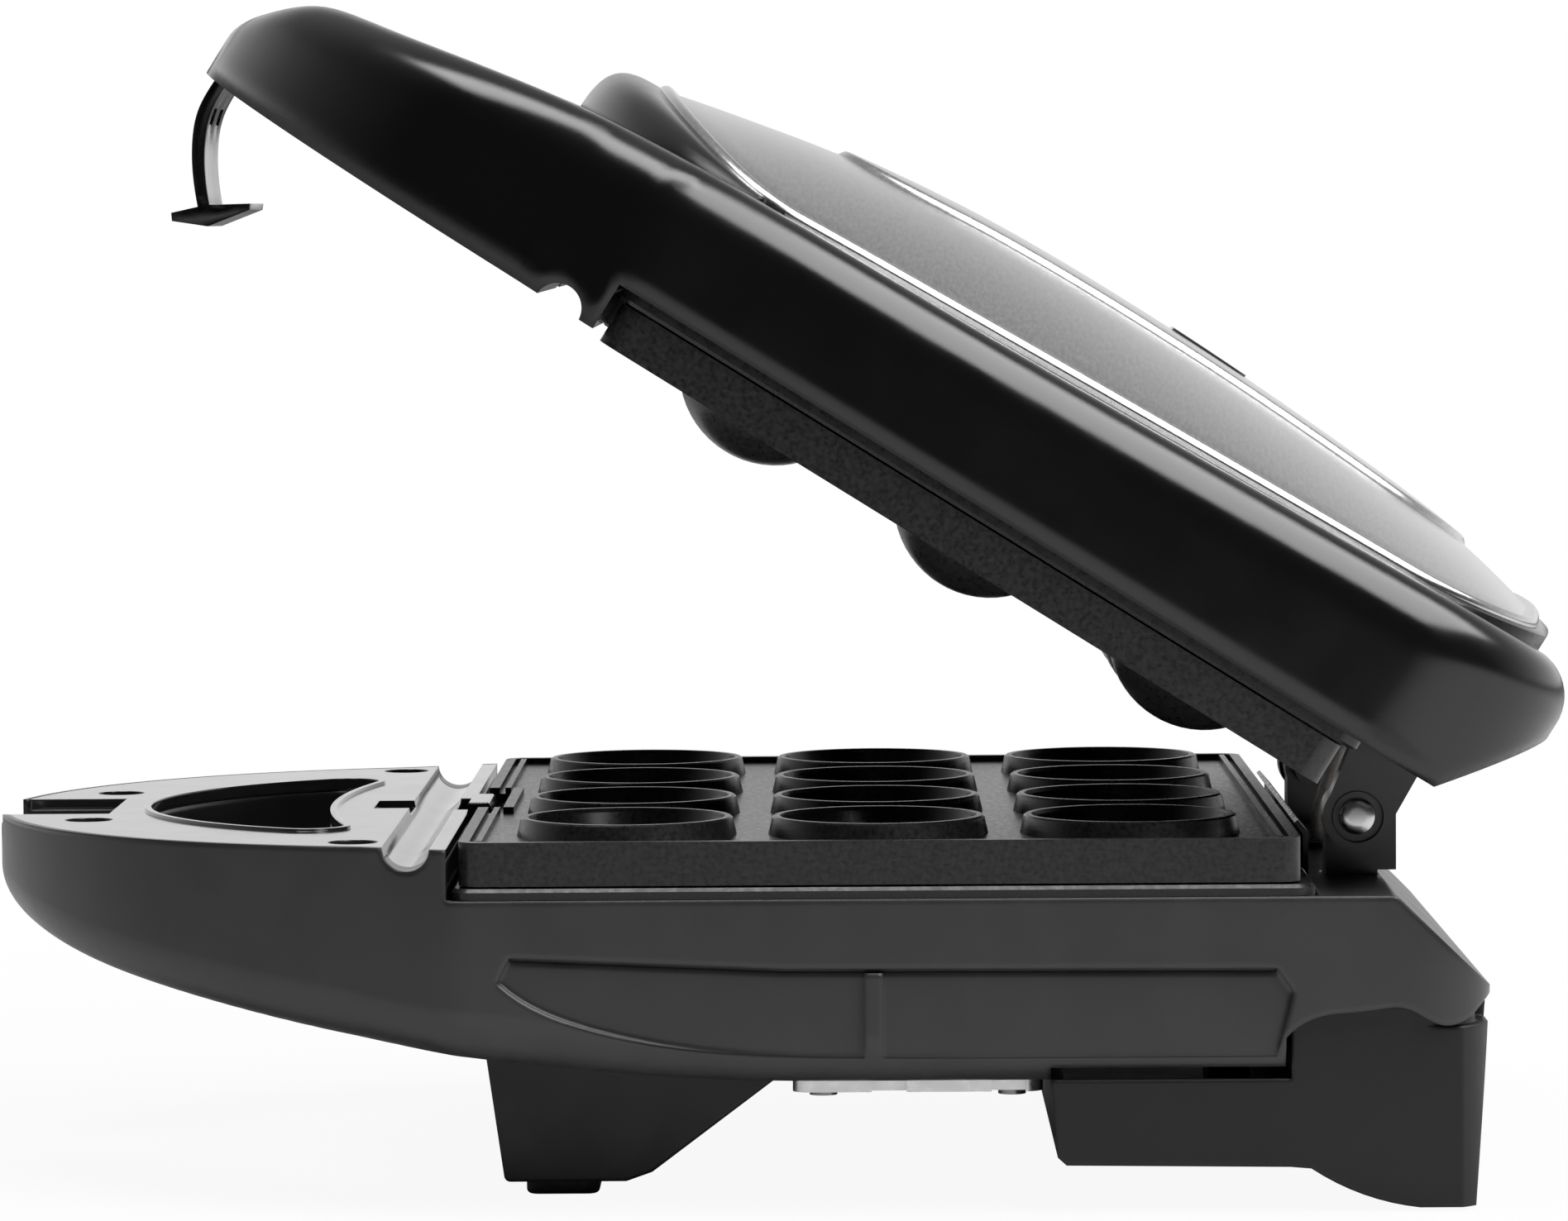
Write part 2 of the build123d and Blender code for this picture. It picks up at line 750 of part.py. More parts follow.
with BuildPart() as indicator_lamps:
    for lamp_y in lamp_ys:
        top_z = crown_height(0, lamp_y) - panel_thickness - seat_gap
        inside_z = crown_height(0, lamp_y) - panel_thickness - shell_wall - 2 * seat_gap
        with BuildSketch(level(lid_frame, inside_z)):
            with Locations((0, lamp_y)):
                Circle(lamp_radius)
        extrude(amount=top_z - inside_z)
        with BuildSketch(level(lid_frame, inside_z)):
            with Locations((0, lamp_y)):
                Circle(lamp_radius + 1.4)
        extrude(amount=-6)
finish(indicator_lamps.part, "indicator_lamps")

# Handle insert: a thin cover over the lid's handle, rising in a bullnose to the panel
with BuildPart() as hump:
    for turn in range(-78, 79, 13):
        across = sin(radians(turn))
        along = cos(radians(turn))
        outer_x = crown_half_width * across
        outer_y = crown_front_y - (crown_front_y - crown_nose_y) * along
        panel_x = (panel_half_width - 2) * across
        panel_y = crown_front_y - (crown_front_y - panel_nose_y - 2) * along
        run = sqrt((panel_x - outer_x) ** 2 + (panel_y - outer_y) ** 2)
        low_z = between(lid_top_points, outer_y, 1) - 0.3
        high_z = crown_height(panel_x, panel_y)
        inwards = (panel_x - outer_x, panel_y - outer_y, 0)
        place = Plane(
            (outer_x, outer_y, 0), x_dir=inwards, z_dir=Vector(*inwards).cross(Vector(0, 0, 1))
        )
        with BuildSketch(Plane(lid_frame.location * place.location)):
            with BuildLine():
                Bezier((0, low_z), (0, high_z - 0.5), (0.35 * run, high_z), (run, high_z))
                Polyline((run, high_z), (run, low_z - 1), (0, low_z - 1), (0, low_z))
            make_face()
    loft()
with BuildPart() as handle_insert:
    add(insert_band(-insert_thickness, 0, insert_margin))
    add(hump.part)
    add(insert_bed, mode=Mode.SUBTRACT)
    add(prism(lid_frame, panel_outline(seat_gap), (0, 90)), mode=Mode.SUBTRACT)
    add(prism(upper_frame, grip_outline(0), (deep, 0)), mode=Mode.SUBTRACT)
finish(handle_insert.part, "handle_insert")


def dome_profile(radius, foot_z):
    """Half of a ball's cap that stands on a level, to be revolved into a dome."""
    reach = sqrt(radius**2 - (foot_z - dome_ball_z) ** 2)
    halfway = (radius * sin(radians(30)), dome_ball_z + radius * cos(radians(30)))
    with BuildSketch(mode=Mode.PRIVATE) as cap:
        with BuildLine():
            ThreePointArc((reach, foot_z), halfway, (0, dome_ball_z + radius))
            Polyline((0, dome_ball_z + radius), (0, foot_z), (reach, foot_z))
        make_face()
    return cap.sketch


# The pieces that both halves have alike, seen from the food side of each plate
element_corners = [
    (terminal_half_gap, element_reach_y, terminal_level),
    (terminal_half_gap, element_reach_y, element_level),
    (cup_pitch, element_reach_y, element_level),
    (cup_pitch, -element_reach_y, element_level),
    (-cup_pitch, -element_reach_y, element_level),
    (-cup_pitch, element_reach_y, element_level),
    (-terminal_half_gap, element_reach_y, element_level),
    (-terminal_half_gap, element_reach_y, terminal_level),
]
saddle_spots = [
    (x_side * cup_pitch, y_side * cup_pitch / 2) for x_side in (-1, 1) for y_side in (-1, 1)
] + [(-cup_pitch / 3, -element_reach_y), (cup_pitch / 3, -element_reach_y)]
plate_under = plate_floor - plate_wall
dome_rise = dome_top - plate_floor
dome_ball = (dome_radius**2 + dome_rise**2) / (2 * dome_rise)
dome_ball_z = dome_top - dome_ball
for half, frame in halves.items():
    food_up = Axis(frame.origin, frame.z_dir)

    with BuildPart() as bezel:
        with BuildSketch(level(frame, wall_top)):
            with Locations((0, (bezel_front_y + bezel_rear_y) / 2)):
                RectangleRounded(2 * bezel_half_x, bezel_rear_y - bezel_front_y, plate_corner)
            Rectangle(2 * bezel_opening_x, 2 * bezel_opening_y, mode=Mode.SUBTRACT)
        extrude(amount=bezel_top - wall_top)
        chamfer(bezel.faces().sort_by(food_up)[-1].outer_wire().edges(), 0.8)
        with BuildSketch(level(frame, bezel_well)):
            Rectangle(2 * (bezel_opening_x + bezel_wall), 2 * (bezel_opening_y + bezel_wall))
            Rectangle(2 * bezel_opening_x, 2 * bezel_opening_y, mode=Mode.SUBTRACT)
        extrude(amount=wall_top - bezel_well)
        with BuildSketch(level(frame, bezel_well)):
            Rectangle(2 * bezel_opening_x + 1, 2 * bezel_opening_y + 1)
            Rectangle(2 * bezel_opening_x - 3, 2 * bezel_opening_y - 3, mode=Mode.SUBTRACT)
        extrude(amount=pan_floor - pan_thickness - seat_gap - bezel_well)
    finish(bezel.part, f"{half}_bezel")

    with BuildPart() as reflector:
        with BuildSketch(level(frame, pan_floor - pan_thickness)):
            Rectangle(2 * (bezel_opening_x - seat_gap), 2 * (bezel_opening_y - seat_gap))
        extrude(amount=wall_top - pan_floor + pan_thickness)
        offset(
            amount=-pan_thickness,
            openings=reflector.faces().sort_by(food_up)[-1],
            kind=Kind.INTERSECTION,
        )
        with BuildSketch(level(frame, pan_floor)):
            with Locations(*saddle_spots):
                Rectangle(6, 3)
        extrude(amount=element_level - element_radius - seat_gap - pan_floor)
        with BuildSketch(level(frame, pan_floor - pan_thickness)):
            for x_side in (-1, 1):
                with Locations((x_side * terminal_half_gap, element_reach_y)):
                    Circle(element_radius + 1)
        extrude(amount=pan_thickness, mode=Mode.SUBTRACT)
    finish(reflector.part, f"{half}_reflector")

    with BuildPart() as element:
        with BuildLine(Plane(frame.location)) as element_path:
            FilletPolyline(*element_corners, radius=element_bend)
        with BuildSketch(level(frame, terminal_level)):
            with Locations((terminal_half_gap, element_reach_y)):
                Circle(element_radius)
        sweep(path=element_path.wires()[0])
    finish(element.part, f"{half}_element")

    with BuildPart() as plate:
        with BuildSketch(level(frame, plate_skirt)):
            RectangleRounded(2 * plate_half_x, 2 * plate_half_y, plate_corner)
        extrude(amount=plate_lip - plate_skirt)
        with BuildSketch(level(frame, plate_floor)):
            inner_corner = plate_corner - plate_wall
            inner_x = 2 * (plate_half_x - plate_wall)
            inner_y = 2 * (plate_half_y - plate_wall)
            RectangleRounded(inner_x, inner_y, inner_corner)
        extrude(amount=plate_lip - plate_floor, mode=Mode.SUBTRACT)
        with BuildSketch(level(frame, plate_skirt)):
            RectangleRounded(inner_x, inner_y, inner_corner)
        extrude(amount=plate_under - plate_skirt, mode=Mode.SUBTRACT)
        with BuildSketch(level(frame, plate_floor)):
            for y_side in (-1, 1):
                with Locations((0, y_side * (plate_half_y - rib_inset))):
                    Rectangle(2 * (plate_half_x - rib_inset), rib_width)
        extrude(amount=plate_lip - plate_floor)
        catch_y = (-plate_half_y - 1, -plate_half_y + 6)
        notch_x = (-catch_notch_half, catch_notch_half)
        add(block(frame, notch_x, catch_y, (catch_ledge, 1)), mode=Mode.SUBTRACT)
        add(block(frame, notch_x, (-plate_half_y, catch_y[1] + 1), (catch_ledge - 2, catch_ledge)))
        shelf_y = (catch_y[1], catch_y[1] + plate_wall)
        add(block(frame, notch_x, shelf_y, (catch_ledge - 2, plate_lip)))
        with GridLocations(cup_pitch, cup_pitch, cup_columns, cup_rows) as grid:
            spots = [(place.position.X, place.position.Y) for place in grid.locations]
        for spot_x, spot_y in spots:
            middle = Plane(frame.location * Location((spot_x, spot_y, 0)))
            with BuildSketch(side_on(middle, 0)):
                if half == "lower":
                    Polygon(
                        (0, -cup_depth - plate_wall),
                        (cup_floor_radius + 2, -cup_depth - plate_wall),
                        (cup_rim_radius, plate_under),
                        (cup_foot_radius, plate_floor),
                        (cup_rim_radius, -0.4),
                        (cup_rim_radius - 0.5, 0),
                        (0, 0),
                        align=None,
                    )
                else:
                    add(dome_profile(dome_ball, plate_floor - 1))
            revolve(axis=Axis(middle.origin, middle.z_dir))
            with BuildSketch(side_on(middle, 0)):
                if half == "lower":
                    Polygon(
                        (0, -cup_depth),
                        (cup_floor_radius - 3, -cup_depth),
                        (cup_floor_radius, -cup_depth + 3),
                        (cup_mouth_radius, -1),
                        (cup_mouth_radius + 0.4, 1),
                        (0, 1),
                        align=None,
                    )
                else:
                    add(dome_profile(dome_ball - plate_wall, plate_under - 1))
            revolve(axis=Axis(middle.origin, middle.z_dir), mode=Mode.SUBTRACT)
    finish(plate.part, f"{half}_plate")

    with BuildPart() as catch:
        with BuildSketch(side_on(frame, -catch_half)):
            with BuildLine():
                Polyline(
                    (catch_front_y, bezel_top + seat_gap),
                    (catch_stem_y, bezel_top + seat_gap),
                    (catch_stem_y, catch_ledge + seat_gap),
                    (catch_rear_y - 0.8, catch_ledge + seat_gap),
                    (catch_rear_y, catch_ledge + 1.2),
                    (catch_rear_y - 1.6, plate_lip - seat_gap),
                    (catch_front_y, plate_lip - seat_gap),
                    close=True,
                )
            make_face()
        extrude(amount=2 * catch_half)
        fillet(catch.faces().sort_by(food_up)[-1].edges(), 0.6)
    finish(catch.part, f"{half}_plate_catch")

    with BuildPart() as clips:
        for clip_x in (-clip_spot, clip_spot):
            with BuildSketch(side_on(frame, clip_x - clip_half)):
                with BuildLine():
                    Polyline(
                        (bezel_rear_y - 1.2, bezel_top),
                        (bezel_rear_y - 0.2, bezel_top),
                        (bezel_rear_y - 0.2, -8),
                        (plate_half_y + 1.5, -5.5),
                        (plate_half_y + 0.3, -7),
                        (bezel_rear_y - 1.2, -9),
                        close=True,
                    )
                make_face()
            extrude(amount=2 * clip_half)
    finish(clips.part, f"{half}_plate_clips")

    with BuildPart() as cover:
        with BuildSketch(level(frame, cover_seat)):
            add(handle_outline(rim_ledge + seat_gap, shoulder_y))
        extrude(amount=cover_thickness)
        add(crossbar(frame, groove_y, groove_axis, groove_radius + trough_wall,
                     (-trough_half + seat_gap, trough_half - seat_gap)))
        with BuildSketch(level(frame, cover_boss_bottom)):
            with Locations(*cover_screw_spots):
                Circle(cover_boss_radius)
        extrude(amount=cover_seat - cover_boss_bottom)
        add(block(frame, full_x, (key_slot_y - 20, catch_rear_y), (handle_top, 20)), mode=Mode.SUBTRACT)
        with BuildSketch(level(frame, handle_top)):
            add(grip_outline(1.6))
        extrude(amount=grip_lip)
        add(prism(frame, grip_outline(0), (deep, 5)), mode=Mode.SUBTRACT)
        add(crossbar(frame, groove_y, groove_axis, groove_radius, full_x), mode=Mode.SUBTRACT)
        key_y = (key_slot_y, groove_y)
        key_x = (-key_slot_half, key_slot_half)
        add(block(frame, key_x, key_y, (handle_top - 1.6, 5)), mode=Mode.SUBTRACT)
        add(block(frame, catch_room_x, catch_room_y, (deep, 5)), mode=Mode.SUBTRACT)
        slot_end = latch_slot_rear if half == "lower" else latch_y + 14
        add(block(frame, slot_x, (nose_y - 1, slot_end), (deep, 5)), mode=Mode.SUBTRACT)
        with Locations(*[
            Plane(frame.location * Location((spot[0], spot[1], handle_top)))
            for spot in cover_screw_spots
        ]):
            CounterBoreHole(
                cover_screw_radius + 0.3, screw_recess_radius, screw_recess_depth, depth=10
            )
    finish(cover.part, f"{half}_handle_cover")

    with BuildPart() as cover_screws:
        for spot in cover_screw_spots:
            head_z = handle_top - screw_recess_depth
            with BuildSketch(level(frame, head_z)):
                with Locations(spot):
                    Circle(2 * cover_screw_radius)
            extrude(amount=1.8)
            with BuildSketch(level(frame, cover_screw_end)):
                with Locations(spot):
                    Circle(cover_screw_radius)
            extrude(amount=head_z - cover_screw_end)
    finish(cover_screws.part, f"{half}_cover_screws")

# Hinge: two lugs on the base, two arms on the lid, and a dished pin through each pair
leaf_foot_top = wall_top - shell_wall - seat_gap
arm_axis_z = plate_gap_offset - hinge_z
lug_stem = [
    (lug_stem_y[0], leaf_foot_top), (lug_stem_y[1], leaf_foot_top), (lug_stem_y[1], lug_heel_z),
    (lug_back_y, lug_heel_z), (lug_back_y, hinge_z), (lug_stem_y[0], hinge_z),
]
arm_stem = [
    (arm_stem_y[0], leaf_foot_top), (arm_stem_y[1], leaf_foot_top),
    (arm_throat_y[1], arm_axis_z), (arm_throat_y[0], arm_axis_z),
]
for half, frame, leaf_span, leaf_radius, stem, axis_z, leaf_name in (
    ("lower", base_frame, lug_span, lug_radius, lug_stem, hinge_z, "hinge_lug"),
    ("upper", upper_frame, arm_span, hinge_boss_radius, arm_stem, arm_axis_z, "hinge_arm"),
):
    foot_y = (stem[0][0], stem[1][0] - 2)
    for side_name, x_side in (("left", -1), ("right", 1)):
        leaf_x = sorted((x_side * leaf_span[0], x_side * leaf_span[1]))
        foot_x = (leaf_x[0] - leaf_foot_margin, leaf_x[1] + leaf_foot_margin)
        with BuildPart() as leaf:
            with BuildSketch(side_on(frame, leaf_x[0])):
                with Locations((hinge_y, axis_z)):
                    Circle(leaf_radius)
                with BuildLine():
                    Polyline(*stem, close=True)
                make_face()
            extrude(amount=leaf_x[1] - leaf_x[0])
            add(block(frame, foot_x, foot_y, (leaf_foot_top - leaf_foot_thickness, leaf_foot_top)))
            add(crossbar(frame, hinge_y, axis_z, hinge_pin_radius + pin_clearance, leaf_x),
                mode=Mode.SUBTRACT)
            if half == "upper":
                dish_x = sorted((x_side * leaf_span[1], x_side * (leaf_span[1] - hinge_dish_depth)))
                add(crossbar(frame, hinge_y, axis_z, hinge_dish_radius, dish_x), mode=Mode.SUBTRACT)
        finish(leaf.part, f"{leaf_name}_{side_name}")

with BuildPart() as hinge_pins:
    for x_side in (-1, 1):
        with BuildSketch(side_on(base_frame, x_side * (lug_span[0] - 1.6))):
            with Locations((hinge_y, hinge_z)):
                Circle(hinge_pin_radius + 2)
        extrude(amount=x_side * 1.5)
        with BuildSketch(side_on(base_frame, x_side * (lug_span[0] - 1.6))):
            with Locations((hinge_y, hinge_z)):
                Circle(hinge_pin_radius)
        extrude(amount=x_side * (arm_span[1] - lug_span[0] + 1.6))
        with BuildSketch(side_on(base_frame, x_side * (arm_span[1] - hinge_dish_depth + 0.1))):
            with Locations((hinge_y, hinge_z)):
                Circle(hinge_dish_radius - 0.4)
        extrude(amount=x_side * (hinge_dish_depth - 0.7))
finish(hinge_pins.part, "hinge_pins")

# Latch hanging in the lid's nose, and its pin
with BuildPart() as latch:
    with BuildSketch(side_on(lid_frame, -latch_half_width)):
        with BuildLine():
            outer = Spline(*latch_outer_points)
            inner = Spline(*[(y + latch_strap, z + latch_strap / 4) for y, z in latch_outer_points])
            Line(outer @ 0, inner @ 0)
            Line(outer @ 1, inner @ 1)
        make_face()
        with Locations((latch_y, latch_z)):
            Circle(latch_eye_radius)
        with BuildLine():
            Polyline(
                toe_tip,
                (toe_tip[0] - 0.6, toe_tip[1] + 1.4),
                (toe_tip[0] - 9.4, toe_tip[1] - 4.4),
                (tab_tip[0] - 1.2, tab_tip[1] + 1.6),
                tab_tip,
                (toe_tip[0] - 6.4, toe_tip[1] - 8.6),
                close=True,
            )
        make_face()
    extrude(amount=2 * latch_half_width)
    add(crossbar(lid_frame, latch_y, latch_z, latch_pin_radius + pin_clearance, full_x),
        mode=Mode.SUBTRACT)
    for x_side in (-1, 1):
        window_x = sorted((x_side * 5.0, x_side * 12.0))
        add(block(lid_frame, window_x, (-212, -198), (-7.5, -3.5)), mode=Mode.SUBTRACT)
finish(latch.part, "latch")
pin_x = (-latch_pin_half + seat_gap, latch_pin_half - seat_gap)
with BuildPart() as latch_pin:
    add(crossbar(lid_frame, latch_y, latch_z, latch_pin_radius, pin_x))
finish(latch_pin.part, "latch_pin")

# Rear deflector behind the lower plate
with BuildPart() as rear_deflector:
    with BuildSketch(side_on(base_frame, -deflector_half)):
        with BuildLine():
            Polyline(
                (bezel_rear_y + 0.4, wall_top),
                (bezel_rear_y + 1.6, wall_top),
                (bezel_rear_y + 1.6, -6.0),
                (bezel_rear_y - 0.8, -3.2),
                (bezel_rear_y - 1.6, -3.8),
                (bezel_rear_y + 0.4, -6.6),
                close=True,
            )
        make_face()
    extrude(amount=2 * deflector_half)
finish(rear_deflector.part, "rear_deflector")

# Front feet and their pads
for side_name, x_side in (("left", -1), ("right", 1)):
    foot_x = sorted((x_side * foot_span[0], x_side * foot_span[1]))
    with BuildPart() as foot:
        add(side_prism(base_frame, front_foot_side, foot_x))
        fillet(foot.edges().filter_by(Axis.X).sort_by(Axis.Z)[:3], 1.5)
        add(base_hull, mode=Mode.SUBTRACT)
    finish(foot.part, f"front_foot_{side_name}")
with BuildPart() as front_foot_pads:
    with BuildSketch(Plane.XY):
        for x_side in (-1, 1):
            pad_x = x_side * (foot_span[0] + foot_span[1]) / 2
            pad_middle = plate_centre_y + (foot_pad_y[0] + foot_pad_y[1]) / 2
            with Locations((pad_x, pad_middle)):
                RectangleRounded(
                    foot_span[1] - foot_span[0] - 2 * foot_pad_margin,
                    foot_pad_y[1] - foot_pad_y[0],
                    3,
                )
    extrude(amount=rim_height + front_foot_side[1][1])
    fillet(front_foot_pads.faces().sort_by(Axis.Z)[0].edges(), 1.2)
finish(front_foot_pads.part, "front_foot_pads")

# Rear housing: the rear feet, with the cord wrap between them
fit_step_z = -46.0
housing_top = [
    (housing_inner_y, housing_side[-1][1]),
    (housing_inner_y, housing_shelf[1]),
    housing_shelf,
    (housing_shelf[0], hull_bottom + 0.8),
    (housing_side[0][0], hull_bottom + 0.8),
]
inner_side = [
    (housing_side[0][0] + housing_wall, hull_bottom + 2),
    (housing_side[2][0] + 1.6, housing_side[2][1] + housing_wall + 0.4),
    (housing_side[3][0], housing_side[3][1] + housing_wall),
    (housing_side[4][0], housing_side[4][1] + housing_wall + 0.4),
    (housing_side[6][0], housing_side[6][1] + housing_wall + 0.6),
    (housing_side[7][0] - housing_wall, housing_side[7][1] + housing_wall + 0.6),
    (housing_inner_y - housing_wall, fit_step_z),
    (housing_inner_y - housing_wall, housing_shelf[1] + 1),
    (housing_shelf[0] + housing_wall, housing_shelf[1] + 1),
    (housing_shelf[0] + housing_wall, hull_bottom + 2),
]
housing_x = (-housing_half_x, housing_half_x)
room_x = (-housing_half_x + housing_wall, housing_half_x - housing_wall)
wrap_x = (-cord_wrap_half, cord_wrap_half)
wrap_wall_x = (-cord_wrap_half - housing_wall, cord_wrap_half + housing_wall)
wrap_floor = housing_side[3][1]
wrap_y = (housing_side[4][0] - 4, housing_side[7][0] - 1)
fit_margin = shell_wall + slide_gap
wire_notch_y = (housing_shelf[0] - 1, housing_shelf[0] + housing_wall + 1)
housing_fits = (
    prism(base_frame, plan_outline(slide_gap, base_rear_y, base_rear_corner), (-100, fit_step_z))
    + prism(base_frame, plan_outline(fit_margin, base_rear_y, base_rear_corner), (fit_step_z, 0))
    + block(base_frame, (-100, 100), (housing_inner_y - 5, base_rear_y), (fit_step_z, -42.2))
)
housing_room = prism(
    base_frame, plan_outline(fit_margin + housing_wall, base_rear_y, base_rear_corner), (-100, 0)
)
with BuildPart() as housing_block:
    with BuildSketch(side_on(base_frame, housing_x[0])):
        with BuildLine():
            heel = ThreePointArc(housing_side[4], housing_side[5], housing_side[6])
            Polyline(heel @ 1, *housing_side[7:], *housing_top, *housing_side[:4], heel @ 0)
        make_face()
    extrude(amount=housing_x[1] - housing_x[0])
housing_solid = housing_block.part & housing_fits
with BuildPart() as rear_foot_housing:
    add(housing_solid)
    add(side_prism(base_frame, inner_side, room_x) & housing_room, mode=Mode.SUBTRACT)
    add(block(base_frame, wrap_wall_x, wrap_y, (-100, wrap_floor + housing_wall)) & housing_solid)
    add(block(base_frame, wrap_x, (wrap_y[0], 145), (-100, wrap_floor)), mode=Mode.SUBTRACT)
    add(block(base_frame, post_x, post_y, (wrap_floor + 1, post_top)))
    add(block(base_frame, (-12, 12), (126, 140), (gland_z - 12, gland_z + 12)) & housing_solid)
    add(block(base_frame, (-gland_radius, gland_radius), (126, 133), (gland_z - 12, gland_z + 12)),
        mode=Mode.SUBTRACT)
    with BuildSketch(front_on(base_frame, 120)):
        with Locations((0, gland_z)):
            Circle(gland_bore + 2)
    extrude(amount=-30, mode=Mode.SUBTRACT)
    add(block(base_frame, (-6, 6), wire_notch_y, (post_top, housing_shelf[1] + 1)),
        mode=Mode.SUBTRACT)
    with BuildSketch(level(base_frame, housing_side[7][1])):
        for x_side in (-1, 1):
            with Locations((x_side * rear_pad_x, rear_pad_y)):
                Circle(rear_pad_radius + seat_gap / 2)
    extrude(amount=rear_pad_recess, mode=Mode.SUBTRACT)
finish(rear_foot_housing.part, "rear_foot_housing")

with BuildPart() as rear_foot_pads:
    with BuildSketch(Plane.XY):
        for x_side in (-1, 1):
            with Locations((x_side * rear_pad_x, plate_centre_y + rear_pad_y)):
                Circle(rear_pad_radius)
    extrude(amount=rim_height + housing_side[7][1] + rear_pad_recess)
finish(rear_foot_pads.part, "rear_foot_pads")

with BuildPart() as cord_gland:
    with BuildSketch(front_on(base_frame, 133)):
        with Locations((0, gland_z)):
            Circle(gland_radius - 0.4)
            Circle(gland_bore, mode=Mode.SUBTRACT)
    extrude(amount=2.0)
    with BuildSketch(front_on(base_frame, 133)):
        with Locations((0, gland_z)):
            Circle(gland_bore + 1.9)
            Circle(gland_bore, mode=Mode.SUBTRACT)
    extrude(amount=-4.6)
finish(cord_gland.part, "cord_gland")

# Vented bottom cover, notched at its sides, and its screws
cover_y = (cover_span_y[0] + cover_span_y[1]) / 2
cover_screw_x = 2 * (cover_half_x - cover_screw_inset)
cover_screw_y = cover_span_y[1] - cover_span_y[0] - 2 * cover_screw_inset
with BuildPart() as bottom_cover:
    with BuildSketch(level(base_frame, cover_bottom)):
        with Locations((0, cover_y)):
            RectangleRounded(2 * cover_half_x, cover_span_y[1] - cover_span_y[0], 4)
            with GridLocations(18, 20, 9, 2):
                SlotOverall(16, 4, rotation=90, mode=Mode.SUBTRACT)
            with GridLocations(cover_screw_x, cover_screw_y, 2, 2):
                Circle(screw_radius + 0.2, mode=Mode.SUBTRACT)
        for notch_y in cover_notch_ys:
            with Locations((-cover_half_x, notch_y), (cover_half_x, notch_y)):
                Rectangle(2 * cover_notch_depth, cover_notch_width, mode=Mode.SUBTRACT)
    extrude(amount=hull_bottom - seat_gap - cover_bottom)
finish(bottom_cover.part, "bottom_cover")

with BuildPart() as bottom_screws:
    for radius, low_z, high_z in (
        (2 * screw_radius, cover_bottom - 1.2, cover_bottom),
        (screw_radius, cover_bottom, hull_bottom - seat_gap),
    ):
        with BuildSketch(level(base_frame, low_z)):
            with Locations((0, cover_y)):
                with GridLocations(cover_screw_x, cover_screw_y, 2, 2):
                    Circle(radius)
        extrude(amount=high_z - low_z)
finish(bottom_screws.part, "bottom_screws")

# Screws that hold the feet of the hinge leaves under each deck
for half, frame, leaf_span, stem_y, label in (
    ("lower", base_frame, lug_span, lug_stem_y, "hinge_lug_screws"),
    ("upper", upper_frame, arm_span, arm_stem_y, "hinge_arm_screws"),
):
    head_z = leaf_foot_top - leaf_foot_thickness
    screw_y = (stem_y[0] + stem_y[1]) / 2 - 1
    with BuildPart() as leaf_screws:
        for x_side in (-1, 1):
            for end in (leaf_span[0] - leaf_foot_margin / 2, leaf_span[1] + leaf_foot_margin / 2):
                with BuildSketch(level(frame, head_z)):
                    with Locations((x_side * end, screw_y)):
                        Circle(2 * screw_radius)
                extrude(amount=-1.6)
    finish(leaf_screws.part, label)

# Terminal blocks, thermostat and thermal fuse
for half, frame in halves.items():
    with BuildPart() as terminals:
        with BuildSketch(level(frame, terminal_level)):
            with Locations((0, element_reach_y)):
                RectangleRounded(2 * terminal_half_gap + 16, 16, 2)
        extrude(amount=-terminal_thickness)
        with BuildSketch(level(frame, terminal_level)):
            with Locations((0, element_reach_y)):
                with GridLocations(terminal_half_gap, 1, 2, 1):
                    Circle(2.2)
        extrude(amount=-2.5, mode=Mode.SUBTRACT)
    finish(terminals.part, f"{half}_terminal_block")

pan_under = pan_floor - pan_thickness
with BuildPart() as thermostat:
    with BuildSketch(level(base_frame, pan_under)):
        with Locations((0, cup_pitch / 2)):
            Circle(9)
    extrude(amount=-7)
    with BuildSketch(level(base_frame, pan_under)):
        with Locations((0, cup_pitch / 2)):
            RectangleRounded(30, 8, 2)
    extrude(amount=-1)
finish(thermostat.part, "thermostat")

with BuildPart() as thermal_fuse:
    add(crossbar(upper_frame, cup_pitch / 2, pan_under - 2.2, 2.2, (-9, 9)))
    add(block(upper_frame, (-2, 2), (cup_pitch / 2 - 6, cup_pitch / 2 + 6), (pan_under - 1, pan_under)))
finish(thermal_fuse.part, "thermal_fuse")

# Lead that crosses the hinge, its grommets, and the wiring inside the base and the lid
def in_frame(frame, x, y, z):
    """A point of a frame in the coordinates of the whole."""
    return (frame.location * Location((x, y, z))).position


lead_route = [
    in_frame(base_frame, 0, lead_y, wall_top - 6),
    in_frame(base_frame, 0, lead_y, wall_top + 8),
    in_frame(upper_frame, 0, lead_y, wall_top + 8),
    in_frame(upper_frame, 0, lead_y, wall_top - 6),
]
with BuildPart() as hinge_lead:
    with BuildLine() as lead_path:
        FilletPolyline(*lead_route, radius=6)
    with BuildSketch(level(base_frame, wall_top - 6)):
        with Locations((0, lead_y)):
            Circle(lead_radius)
    sweep(path=lead_path.wires()[0])
finish(hinge_lead.part, "hinge_lead")
print("hinge lead length", round(lead_path.wires()[0].length, 1))

for half, frame, label in (
    ("lower", base_frame, "base_grommet"),
    ("upper", upper_frame, "lid_grommet"),
):
    with BuildPart() as grommet:
        with BuildSketch(level(frame, wall_top)):
            with Locations((0, lead_y)):
                Circle(grommet_flange)
                Circle(lead_radius + 0.1, mode=Mode.SUBTRACT)
        extrude(amount=1.4)
        with BuildSketch(level(frame, wall_top)):
            with Locations((0, lead_y)):
                Circle(grommet_radius)
                Circle(lead_radius + 0.1, mode=Mode.SUBTRACT)
        extrude(amount=-shell_wall - 1)
    finish(grommet.part, label)

